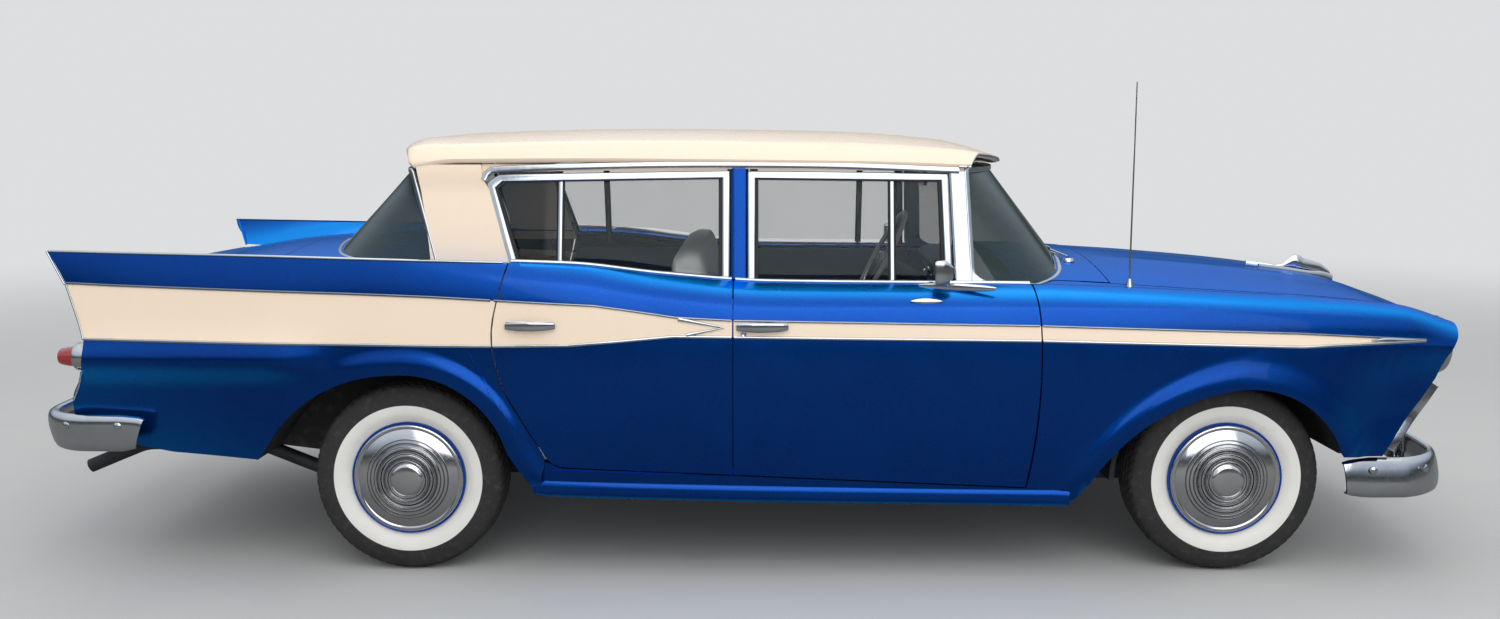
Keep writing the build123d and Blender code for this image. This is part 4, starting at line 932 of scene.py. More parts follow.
class BodyForm:
    """The right half of the lower body's skin, as a function of x and a share w round its section.

    From w = 0 to 1 it climbs the side from the sill to the crest, from 1 to 2 it crosses the ledge, and from 2 to 3
    it crosses the crown to the car's middle.
    """

    def __init__(self) -> None:
        self.names = list(STATION_VALUES)
        self.table = real([STATION_VALUES[n] for n in self.names]).T
        self.arches = [arch_line("front"), arch_line("rear")]

    @staticmethod
    def _bow(a: Array, b: Array, t: Array, bulge: Array | float) -> Array:
        """A shallow arc from a to b: the chord plus 4t(1 - t) of the bulge along the chord's right-hand normal."""
        chord = b - a
        normal = dots(chord[..., 1], -chord[..., 0]) / np.linalg.norm(chord, axis=-1, keepdims=True)
        return a + chord * t[..., None] + normal * (4 * t * (1 - t) * bulge)[..., None]

    def bare(self, x: Array, w: Array) -> Array:
        """Surface points without the wheel lips and the lamp bulges."""
        x, w = np.broadcast_arrays(real(x), real(w))
        v = dict(zip(self.names, np.moveaxis(along(STATION_X, self.table, x), -1, 0)))
        foot, low = dots(v["sill_y"], v["floor_z"]), dots(v["low_y"], v["low_z"])
        high, top = dots(v["high_y"], v["high_z"]), dots(v["top_y"], v["top_z"])
        edge = dots(v["edge_y"], v["edge_z"])
        middle = dots(0.0, v["crown_z"])
        sill = self._bow(foot, low, np.clip(w / 0.5, 0, 1), SILL_BULGE)
        line = lerp(low, high, np.clip((w - 0.5) / 0.12, 0, 1)[..., None])
        shoulder = self._bow(high, top, np.clip((w - 0.62) / 0.38, 0, 1), v["bulge"])
        ledge = self._bow(top, edge, np.clip(w - 1, 0, 1), v["valley"])
        t = np.clip(w - 2, 0, 1)
        rise = v["crown_z"] - v["edge_z"]
        crown = dots(edge[..., 0] * (1 - t), edge[..., 1] + rise * (1 - (1 - t) ** 2))
        pick = np.select([w < 0.5, w < 0.62, w < 1, w < 2], range(4), 4)[..., None]
        flat = np.choose(pick, [sill, line, shoulder, ledge, crown])
        return dots(x, -flat[..., 0], flat[..., 1])

    def point(self, x: Array, w: Array) -> Array:
        """Surface points, with the wheel lips raised and the lamp bulge drawn along the quarter.

        A lip is a smooth rise near its opening. The bulge pushes the side out to a round of the lamp's radius and
        fades with height as a bell. The nose is tucked in under its ledge, and the quarter drawn out in a ridge.

        Args:
            x: Places along the car.
            w: Shares round the section.

        Returns:
            The points, one for each x and w.
        """
        p = self.bare(x, w)
        x, z = p[..., 0], p[..., 2]
        side = (np.broadcast_to(w, x.shape) < 0.9).astype(float)
        for line, back in zip(self.arches, (-9e3, AXLE_X["rear"] - 330)):
            gap = distance_to(p[..., [0, 2]].reshape(-1, 2), line).reshape(x.shape)
            lip = smooth((FLARE_WIDTH + 26 - gap) / 42)
            p[..., 1] -= FLARE_RISE * lip * side * smooth((z - 300) / 60 + 0.3) * smooth((x - back) / 280)
        share = np.clip((x - LAMP_X) / BULGE_LENGTH, 0, 1)
        centre, radius = lerp(*BULGE_Y, share), lerp(*BULGE_RADIUS, share)
        gap = centre + radius + p[..., 1]
        inside = side * np.exp(-(((z - (LAMP_Z + (x - LAMP_X) * 0.012)) / (1.2 * radius)) ** 2))
        p[..., 1] -= (gap + np.sqrt(gap**2 + 400)) / 2 * inside * smooth((-1290 - x) / 300)
        nose = smooth((x - NOSE_X) / 300)
        tuck = nose * smooth((756 - z) / 120) * smooth((z - 415) / 150)
        ledge = nose * smooth((770 - z) / 40)
        p[..., 1] += (TUCK * tuck + LEDGE * ledge * smooth((z - 600) / 120)) * side
        ridge = smooth((806 - z) / 84) * smooth((z - 636) / 80) * smooth((-1230 - x) / 320)
        p[..., 1] -= RIDGE * ridge * side
        return p

    def _share(self, x: Array, goal: Array, ends: tuple[float, float], axis: int) -> Array:
        """The share w between two ends at which a section's coordinate climbs past a goal, read off 160 steps."""
        w = np.linspace(*ends, 161)
        climb = self.bare(real(x)[:, None], w[None])[..., axis]
        i = np.clip((climb < real(goal)[:, None]).sum(axis=1), 1, 160)
        row = np.arange(len(i))
        low, high = climb[row, i - 1], climb[row, i]
        return w[i - 1] + (w[1] - w[0]) * np.clip((goal - low) / (high - low + 1e-9), 0, 1)

    def share_at_z(self, x: Array, z: Array) -> Array:
        """The share w at which the side at x reaches a height."""
        return self._share(x, z, (0, 1), 2)

    def share_at_y(self, x: Array, y: Array) -> Array:
        """The share w at which the top at x is a distance y from the car's middle."""
        return self._share(x, -y, (1, 3), 1)

    def on_side(self, line: Line) -> Array:
        """Surface points on the right side under a line on the side view."""
        line = real(line)
        return self.point(line[:, 0], self.share_at_z(line[:, 0], line[:, 1]))

    def on_top(self, plan: Line) -> Array:
        """Surface points over a line in plan, given as x and distance from the car's middle."""
        plan = real(plan)
        return self.bare(plan[:, 0], self.share_at_y(plan[:, 0], plan[:, 1]))


FORM = BodyForm()


def side_net(line: Line) -> Array:
    """A side-view line as x and share w."""
    line = real(line)
    return dots(line[:, 0], FORM.share_at_z(line[:, 0], line[:, 1]))


def top_net(plan: Line) -> Array:
    """A plan line as x and share w."""
    plan = real(plan)
    return dots(plan[:, 0], FORM.share_at_y(plan[:, 0], plan[:, 1]))


def spear_marks(grid: Array) -> dict[str, Array]:
    """How far each point is above the lower moulding's line and below the upper one's, in millimetres."""
    x, z = grid[..., 0], grid[..., 2]
    upper, lower = real(UPPER_LINE), real(LOWER_LINE)
    return {
        "above_low": z - np.interp(x, lower[:, 0], lower[:, 1]),
        "below_high": np.interp(x, upper[:, 0], upper[:, 1]) - z - 1e3 * (x > SPEAR_TIP_X),
    }


def body_panel(low: Array, high: Array, first: Array, last: Array, depth: float) -> Shape:
    """A panel of the right side between four edge lines, each given as x and share w.

    Args:
        low: The lower edge, spaced as the columns are.
        high: The upper edge, spaced in the same way.
        first: The edge at the columns' start, spaced as the rows are.
        last: The edge at the columns' end.
        depth: The panel's thickness.

    Returns:
        The panel, with the spear's marks.
    """
    net = coons(low, high, first, last)
    grid = FORM.point(net[..., 0], net[..., 1])
    grid = toward(grid, (0, -1, 0))
    return thick(grid, depth, 2.5, **spear_marks(grid))


# The glasshouse in plan at two heights
PLAN_LOW_Z, PLAN_HIGH_Z = 940, 1352
PLAN_LOW = (1218, 745, 770, -1020, 775, -1665, 0.83)
PLAN_HIGH = (905, 722, 690, -1140, 672, -1250, 0.58)
BOW_SHARE_Y = 0.66


class Glasshouse:
    """The right half of the cabin's upper skin, as a function of a number s along its plan and a height.

    In plan, s runs from 0 at the windshield's middle over 1 at its bend and 2 at its corner, 3 at the rear
    window's corner and 4 at its bend, to 5 at the rear window's middle. Heights mix two plans.
    """

    steps = 48

    def __init__(self) -> None:
        self.low = self.plan(*PLAN_LOW)
        self.high = self.plan(*PLAN_HIGH)
        self.share = np.arange(len(self.low)) / self.steps

    def plan(
        self, front_x: float, corner_x: float, corner_y: float, tail_x: float, tail_y: float, end_x: float,
        bow_share: float,
    ) -> Array:
        """The plan's points: a bowed screen, a turn to the corner, a straight side, and the same again behind."""
        n = self.steps + 1
        halves = []
        for end, x, y in ((front_x, corner_x, corner_y), (end_x, tail_x, tail_y)):
            bow = np.array([x + bow_share * (end - x), -BOW_SHARE_Y * y])
            screen = arc(bow * (1, -1), (end, 0), bow, 2 * n - 1)[n - 1:]
            halves.append((screen, tangent_arc(bow, screen[-1] - screen[-2], (x, -y), n)))
        (screen, turn), (back, tail_turn) = halves
        side = lerp(np.array([corner_x, -corner_y]), np.array([tail_x, -tail_y]), evenly(n)[:, None])
        return np.concatenate([screen[:-1], turn[:-1], side[:-1], tail_turn[::-1][:-1], back[::-1]])

    def point(self, s: Array, z: Array, inset: float = 0.0) -> Array:
        """Surface points, drawn inset towards the cabin."""
        s, z = np.broadcast_arrays(real(s), real(z))
        low = np.stack([np.interp(s, self.share, self.low[:, k]) for k in (0, 1)], -1)
        high = np.stack([np.interp(s, self.share, self.high[:, k]) for k in (0, 1)], -1)
        at = lerp(low, high, ((z - PLAN_LOW_Z) / (PLAN_HIGH_Z - PLAN_LOW_Z))[..., None])
        way = np.stack([np.interp(s + d, self.share, self.low[:, k]) for d in (0.02, -0.02) for k in (0, 1)], -1)
        way = way[..., :2] - way[..., 2:]
        inward = dots(way[..., 1], -way[..., 0]) / (np.linalg.norm(way, axis=-1, keepdims=True) + 1e-9)
        return np.concatenate([at + inset * inward, z[..., None]], -1)

    def on_side(self, line: Line, inset: float = 0.0) -> Array:
        """Surface points on the right side under a line on the side view."""
        line = real(line)
        t = (line[..., 1] - PLAN_LOW_Z) / (PLAN_HIGH_Z - PLAN_LOW_Z)
        corner, tail = lerp(PLAN_LOW[1], PLAN_HIGH[1], t), lerp(PLAN_LOW[3], PLAN_HIGH[3], t)
        share = 2 + (corner - line[..., 0]) / (corner - tail)
        y = lerp(lerp(PLAN_LOW[2], PLAN_LOW[4], share - 2), lerp(PLAN_HIGH[2], PLAN_HIGH[4], share - 2), t)
        return dots(line[..., 0], -(y - inset), line[..., 1])


HOUSE = Glasshouse()


def side_band(outer: Line, inner: Line, proud: float, back: float) -> Shape:
    """A flat bar on the glasshouse's side between two lines on the side view, with rounded outer edges.

    Args:
        outer: The bar's outer line.
        inner: Its inner line, with as many points.
        proud: How far it stands out from the glass line.
        back: How far it reaches in.

    Returns:
        The closed bar.
    """
    outer, inner = real(outer), real(inner)
    shares = (0, 0, 0.08, 0.25, 0.75, 0.92, 1, 1)
    insets = (back, -proud + 3, -proud + 0.8, -proud, -proud, -proud + 0.8, -proud + 3, back)
    lines = [HOUSE.on_side(lerp(outer, inner, share), inset) for share, inset in zip(shares, insets)]
    return capped(np.stack(lines, axis=1))


def spear_strip(line: tuple, x0: float, x1: float, width: float) -> Shape:
    """One length of the spear's moulding between two places along the car."""
    xs, zs = real(line).T
    x = np.linspace(x0, x1, 90)
    path = FORM.on_side(spread(dots(x, np.interp(x, xs, zs)), 90))
    return carried(path, moulding(width, 5), (0, -1, 0.12))


# Body panels


def rows_of(line: Line, top: tuple[float, float] | None, count: int) -> Array:
    """A panel's upright edge as evenly spaced shares w.

    Args:
        line: The edge on the side view, from its foot to the crest.
        top: The edge's last point in plan, where it goes on over the ledge.
        count: How many points to return.

    Returns:
        The edge as x and w.
    """
    net = side_net(spread(line, 60, curved=True))
    if top:
        net = np.concatenate([net[net[:, 1] < 0.999], [[net[-1, 0], 1.0]], top_net([top])])
    share = np.linspace(net[0, 1], net[-1, 1], count)
    return dots(np.interp(share, net[:, 1], net[:, 0]), share)


def over(xs: Array, halves: Array, across: int, drop: float = 0.0) -> Array:
    """A grid over the body's top, from the right edge to the left one.

    Args:
        xs: The grid's rows along the car.
        halves: Half the grid's width at each row.
        across: How many columns.
        drop: How far the grid lies under the skin.

    Returns:
        The grid's points.
    """
    share = np.linspace(-1, 1, across)
    y = real(halves)[:, None] * share[None]
    x = np.broadcast_to(real(xs)[:, None], y.shape)
    top = FORM.on_top(dots(x.ravel(), np.abs(y).ravel())).reshape(*x.shape, 3)
    return dots(x, y, top[..., 2] - drop)


@dataclass
class Door:
    """A door with its skin, inner panel, window frame, seals and handle."""

    side: Side
    end: str
    foot: tuple
    front_edge: tuple
    rear_edge: tuple
    frame: tuple
    opening: tuple
    vent_x: float
    handle: tuple
    columns: int = 64
    rows: int = 44
    sill_y: float = 735
    inner_y: float = 722

    @property
    def body(self) -> str:
        """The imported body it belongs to."""
        return f"{self.end}_door_{self.side.word}"

    def skin(self) -> Shape:
        """The painted outer panel between its shut lines."""
        front, rear = real(self.front_edge), real(self.rear_edge)
        low = side_net(spread(self.foot, self.columns))
        high = top_net(dots(lerp(front[-1, 0], rear[-1, 0], evenly(self.columns)), self.sill_y))
        first = rows_of(front, (front[-1, 0], self.sill_y), self.rows)
        last = rows_of(rear, (rear[-1, 0], self.sill_y), self.rows)
        return body_panel(low, high, first, last, 20.0)

    def inner(self) -> Shape:
        """The trimmed inner panel, a slab inside the skin."""
        front, rear = real(self.front_edge), real(self.rear_edge)
        line = np.array([(front[0, 0] - 34, front[0, 1] + 34), (front[-1, 0] - 34, 962), (rear[-1, 0] + 34, 962),
                         *[(x + 34, z + 10) for x, z in rear[-2:0:-1]], (rear[0, 0] + 46, rear[0, 1] + 30)])
        outer = FORM.on_side(dots(line[:, 0], np.minimum(line[:, 1], 960)))[:, 1] + 24
        rings = [dots(line[:, 0], outer, line[:, 1])]
        for y, shrink in ((760, 0.0), (self.inner_y + 4, 0.0), (self.inner_y, 0.02), (self.inner_y, 0.5)):
            ring = lerp(line, line.mean(axis=0), shrink)
            rings.append(dots(ring[:, 0], -y, ring[:, 1]))
        return capped(np.array(rings))

    def armrest(self) -> Shape:
        """A padded armrest bar on the inner panel, with rounded ends."""
        x0, x1 = self.rear_edge[-1][0], self.front_edge[-1][0]
        path = dots(np.linspace(lerp(x0, x1, 0.3), lerp(x0, x1, 0.68), 12), -self.inner_y, 720.0)
        size = (1 - np.abs(np.linspace(-1, 1, 12)) ** 6)[:, None] ** 0.5 * (1, 1) + 0.05
        return carried(path, rounded(52, 46, 18, base=-4), (0, 1, 0), scale=size)

    def window(self) -> Shape:
        """The bright window frame as one mitred band, and the vent bar."""
        frame = side_band(self.frame, self.opening, 3, 24)
        x = self.vent_x
        top = np.interp(x, [min(p[0] for p in self.opening), max(p[0] for p in self.opening)], [1322, 1319])
        post = side_band([(x - 7, 985), (x - 7, top)], [(x + 7, 985), (x + 7, top)], -2, 22)
        return frame + post

    def seal(self) -> Shape:
        """The dark rubber between the frame and the glass, and along both sides of the vent bar."""
        line = real(self.opening)
        middle = line.mean(axis=0)
        inner = line + (middle - line) / np.linalg.norm(middle - line, axis=1, keepdims=True) * 13
        shape = side_band(line, inner, -1, 16)
        x = self.vent_x
        return shape + side_band([(x - 13, 990), (x - 13, 1317)], [(x + 13, 990), (x + 13, 1317)], -5, 16)

    def belt(self) -> Shape:
        """The bright strip along the foot of the glass."""
        rear, front = self.rear_edge[-1][0] + 4, self.front_edge[-1][0] - 4
        xs = np.linspace(rear, front, 40)
        crest = FORM.bare(xs, 1.0)
        frame_y = HOUSE.on_side(crest[:, [0, 2]])[:, 1]
        path = dots(xs, np.minimum(frame_y - 2, crest[:, 1] + 16), crest[:, 2] + 2)
        return carried(path, rounded(22, 16, 6, base=-14), (0, -0.5, 0.86))

    def grip(self) -> Shape:
        """The pull handle: a teardrop bar over a shallow plate."""
        rear, front, height, surface = self.handle
        t = evenly(22)
        x = lerp(rear, front, t)
        bow = np.sin(np.pi * np.clip(t * 0.92 + 0.06, 0, 1)) ** 0.6
        path = dots(x, -surface - 6 - 15 * bow, height)
        size = dots(0.5 + 0.5 * bow, 0.35 + 0.65 * np.sin(np.pi * np.clip(t * 0.86 + 0.08, 0, 1)) ** 0.5)
        plate = carried(dots(x, 3.0 - surface, height), rounded(7, 30, 3, base=-3), (0, -1, 0))
        whole = carried(path, rounded(16, 33, 8, base=-8), (0, -1, 0), scale=size) + plate
        if self.end == "rear":
            return whole
        barrel = [(0, 0), (9, 0), (11, 7), (8, 10), (0, 11)]
        return whole + spun(barrel, (rear + 22, -surface + 1, height - 23), (0, -1, 0), 24)

    def strips(self) -> tuple[Shape, Shape]:
        """The door's lengths of the spear's two mouldings, the lower with the chevron where the wide band ends."""
        rear, front = self.rear_edge, self.front_edge
        ends = [np.interp(z, *real(edge).T[::-1]) for z in (870, 810) for edge in (rear, front)]
        upper = spear_strip(UPPER_LINE, ends[0] + 2, ends[1] - 2, 8)
        whole = spear_strip(LOWER_LINE, ends[2] + 2, ends[3] - 2, 11)
        if self.end == "rear":
            for root, thick_at in (((-232, 874), 16.0), ((-206, 822), 14.0)):
                line = spread([root, (-84, 847)], 24)
                path = FORM.on_side(line)
                size = dots(1.0, lerp(1.0, 0.35, evenly(24)))
                whole = whole + carried(path, moulding(thick_at, 6), (0, -1, 0.1), scale=size)
        return upper, whole

    def build(self) -> None:
        """Builds the door and dresses it."""
        name, side = self.body, self.side
        piece(f"{name}_skin", self.skin().on(side), Finish.SPEAR, name, body=name)
        piece(f"{name}_inner", self.inner().on(side), Finish.TRIM, body=name, bevel=6)
        piece(f"{name}_armrest", self.armrest().on(side), Finish.BOLSTER, body=name)
        piece(f"{name}_window_frame", self.window().on(side), Finish.CHROME, body=name)
        piece(f"{name}_window_seal", self.seal().on(side), Finish.RUBBER, body=name)
        piece(f"{name}_belt", self.belt().on(side), Finish.CHROME, body=name)
        piece(f"{name}_handle", self.grip().on(side), Finish.CHROME, body=name)
        upper, lower = self.strips()
        piece(f"{name}_upper_strip", upper.on(side), Finish.DARK_CHROME, body=name)
        piece(f"{name}_lower_strip", lower.on(side), Finish.CHROME, body=name)


def front_door(side: Side) -> Door:
    """The front door's sizes."""
    edge = arc((922, 1075), (948, 805), (911, 312), 30)[::-1]
    edge = edge[edge[:, 1] < 974]
    return Door(
        side, "front", ((911, 312), (-52.5, 355)), tuple(map(tuple, edge)),
        ((-52.5, 355), (-52.5, 650), (-52.5, 985)),
        ((-7, 985), (-7, 1347), (664, 1339), (676, 985)),
        ((17, 985), (17, 1323), (641, 1316), (652, 985)), 476, (-42, 124, 849, 900),
    )


def rear_door(side: Side) -> Door:
    """The rear door's sizes."""
    return Door(
        side, "rear", ((-57.5, 355), (-560, 374), (-625, 378), (-655, 389), (-674, 411)),
        ((-57.5, 355), (-57.5, 650), (-57.5, 990)),
        ((-674, 411), (-740, 522), (-806, 645), (-836, 760), (-838, 850), (-816, 950), (-790, 1052)),
        ((-69, 985), (-69, 1347), (-845, 1336), (-886, 1308), (-800, 1020)),
        ((-93, 985), (-93, 1323), (-834, 1312), (-858, 1290), (-772, 1020)), -637, (-793, -633, 852, 898),
    )


@dataclass
class Mirror:
    """The door mirror: a rectangular head on a long low fin."""

    side: Side
    root: tuple = (560, -792, 972)
    tip: tuple = (806, -850, 968)
    head: tuple = (622, -842, 1022)

    def build(self) -> None:
        """Builds the fin, the head, its glass and the oval plate below."""
        t = evenly(26)[:, None]
        body = f"front_door_{self.side.word}"
        swell = np.sqrt(np.clip(np.sin(np.pi * np.clip(t * 0.9 + 0.05, 0, 1)), 0.06, 1)) * (0.8, 1)
        spine = lerp(real(self.root), real(self.tip), t)
        fin = carried(spine, rounded(34, 20, 9, base=-17), (0, 0, 1), scale=swell)
        x, y, z = self.head
        stem = tube(lerp(np.array([x + 30, y, 975.0]), np.array([x + 14, y, z]), t), 9)
        shell = np.array([(0.94, 0.94), (1, 1), (0.9, 0.9), (0.45, 0.45)])
        path = [(x + d, y, z) for d in (-16, -6, 22, 43)]
        head = carried(path, rounded(82, 66, 14, base=-41), (0, 0, 1), scale=shell)
        across = np.linspace(-1, 1, 20)
        oval = carried(FORM.on_side([(x0, 928) for x0 in np.linspace(526, 628, 20)]), moulding(24, 7), (0, -1, 0.2),
                       scale=dots(1.0, np.sqrt(1.02 - across**2)))
        piece(f"{body}_mirror", (fin + stem + head + oval).on(self.side), Finish.CHROME, body=body)
        glass = carried([(x - 16.6, y, z), (x - 18, y, z)], rounded(72, 56, 11, base=-36), (0, 0, 1))
        piece(f"{body}_mirror_glass", glass.on(self.side), Finish.CHROME, body=body)


TAIL_LINE = ((-2262, 459), (-2262, 596), (-2204, 700), (-2198, 800), (-2217, 859), (-2260, 981), (-2328, 1092))
NOSE_LINE = ((2090, 415), (2164, 530), (2262, 670), (2279, 722), (2322, 800), (2336, 846))


def tail_x(z: Array) -> Array:
    """Where the tail's outline is at a height."""
    x, height = real(TAIL_LINE).T
    return np.interp(z, height, x)


def nose_x(z: Array) -> Array:
    """Where the nose's outline is at a height."""
    x, height = real(NOSE_LINE).T
    return np.interp(z, height, x)


@dataclass
class Quarter:
    """A quarter panel with its fin, wheel lip, lamp bulge, trim and wheelhouse."""

    side: Side
    columns: int = 130
    rows: int = 100
    front_edge: tuple = (
        (-694, LIP_FOOT_Z), (-688, 350), (-681, 412), (-745, 522), (-811, 645), (-841, 760), (-843, 850),
        (-821, 950), (-795, 1054),
    )
    foot: tuple = ((-1652, 379), (-1690, 381), (-1873, 395), (-2035, 424), (-2120, 442), (-2262, 459))
    shut_x: float = -795
    end_x: float = -2325
    inner_half: float = 660
    house_inner: float = 606

    def skin(self) -> Shape:
        """The painted panel, from the door's shut line over the wheel to the tail, and over the fin to the lid."""
        opening = arch_line("rear")[::-1]
        opening = opening[(opening[:, 1] > LIP_FOOT_Z) & ((opening[:, 1] > 381) | (opening[:, 0] > AXLE_X["rear"]))]
        low = side_net(spread(np.concatenate([self.front_edge[:1], opening, self.foot]), self.columns))
        high = top_net(dots(np.linspace(self.shut_x, self.end_x, self.columns), self.inner_half))
        first = rows_of(self.front_edge, (self.shut_x, self.inner_half), self.rows)
        last = rows_of([*TAIL_LINE[:-1], (-2325, 1088)], (self.end_x, self.inner_half), self.rows)
        last[:, 0] = np.where(last[:, 1] > 1, self.end_x + 70 * smooth((last[:, 1] - 1) / 0.9), last[:, 0])
        high[:, 0] = np.linspace(self.shut_x, last[-1, 0], self.columns)
        return body_panel(low, high, first, last, 4.0)

    def house(self) -> Shape:
        """The wheel well: the opening's edge carried inwards, and its inner wall."""
        line = arch_line("rear")
        line = line[(line[:, 1] > LIP_FOOT_Z) & ((line[:, 1] > 381) | (line[:, 0] > AXLE_X["rear"]))][::2]
        skin = -FORM.on_side(line)[:, 1] - 8
        centre = np.array([AXLE_X["rear"], WHEEL_Z])
        x, z = line.T
        rows = [dots(x, -lerp(skin, self.house_inner, share), z) for share in evenly(8)]
        for share in (0.96, 0.72, 0.45):
            at = lerp(centre, line, share)
            rows.append(dots(at[:, 0], -self.house_inner, at[:, 1]))
        return thick(np.array(rows), 5.0, 0.0)

    def trims(self) -> Shape:
        """The fin's top and rear mouldings, the spear's lower one, and the strips down the tail's edge."""
        xs = np.linspace(-2324, -640, 90)
        crest = FORM.bare(xs, 1.0)
        crown = carried(crest[xs < -800], rounded(6, 11, 3, base=-3), (0, -0.35, 0.94))
        shapes = []
        for ends, count, reach, width, out in (
            (((-2261, 978), (-2325, 1086)), 16, -2, 10, (-0.9, -0.2, -0.4)),
            (((-2199, 799), (-2218, 859), (-2259, 979)), 24, -1, 10, (-0.8, -0.6, 0)),
            (((-2206, 690), (-2259, 590)), 12, -1, 14, (-0.9, -0.4, 0)),
        ):
            path = FORM.on_side(spread(ends, count)) + (reach, 0, 0)
            shapes.append(carried(path, rounded(7 if width == 14 else 6, width, 3, base=-3), out))
        lower = spear_strip(LOWER_LINE, LOWER_LINE[0][0] + 3, -842, 11)
        return crown + shapes[0] + lower + shapes[1] + shapes[2]

    def build(self) -> None:
        """Builds the quarter and dresses it."""
        node = f"quarter_panel_{self.side.word}"
        piece(f"{node}_skin", self.skin().on(self.side), Finish.SPEAR, node)
        piece(f"{node}_wheelhouse", self.house().on(self.side), Finish.UNDERBODY)
        piece(f"{node}_trims", self.trims().on(self.side), Finish.CHROME)
        upper = spear_strip(UPPER_LINE, UPPER_LINE[0][0] + 3, -843, 9)
        piece(f"{node}_upper_strip", upper.on(self.side), Finish.DARK_CHROME)


@dataclass
class Fender:
    """A front fender with its wheel lip and trim."""

    side: Side
    columns: int = 120
    rows: int = 56

    def skin(self) -> Shape:
        """The painted panel from the door's shut line over the wheel to the nose, and over the top to the hood."""
        opening = arch_line("front")
        x, z = opening.T
        opening = opening[(z > LIP_FOOT_Z) & ((x < AXLE_X["front"]) | (z > 415))]
        ends = [(917, 309), (1040, 304), (1060, LIP_FOOT_Z)], [(1956, 415), (2090, 415)]
        low = side_net(spread(np.concatenate([ends[0], opening, ends[1]]), self.columns))
        plan = real([(943, 735), (985, 700), (1040, 652), (1236, 650), (2272, 601), (2333, 598)])
        high = top_net(spread(plan, self.columns))
        edge = arc((927, 1075), (953, 805), (917, 309), 40)[::-1]
        first = rows_of(edge[edge[:, 1] < 972], (943, 735), self.rows)
        last = rows_of([*NOSE_LINE[:-1], (2335, 847)], (2333, 598), self.rows)
        return body_panel(low, high, first, last, 4.0)

    def trims(self) -> Shape:
        """The spear's lower moulding and its bright point."""
        whole = spear_strip(LOWER_LINE, 953, 2211, 11)
        xs = np.linspace(2030, 2222, 30)
        size = dots(1.0, np.clip((2224 - xs) / 190, 0.02, 1) * smooth((xs - 2010) / 90))
        return whole + carried(FORM.on_side(dots(xs, 802.0)), moulding(30, 6), (0, -1, 0.1), scale=size)

    def build(self) -> None:
        """Builds the fender and dresses it."""
        node = f"front_fender_{self.side.word}"
        piece(f"{node}_skin", self.skin().on(self.side), Finish.SPEAR, node)
        piece(f"{node}_trims", self.trims().on(self.side), Finish.CHROME)
        upper = spear_strip(UPPER_LINE, 952, 2211, 8)
        piece(f"{node}_upper_strip", upper.on(self.side), Finish.DARK_CHROME)


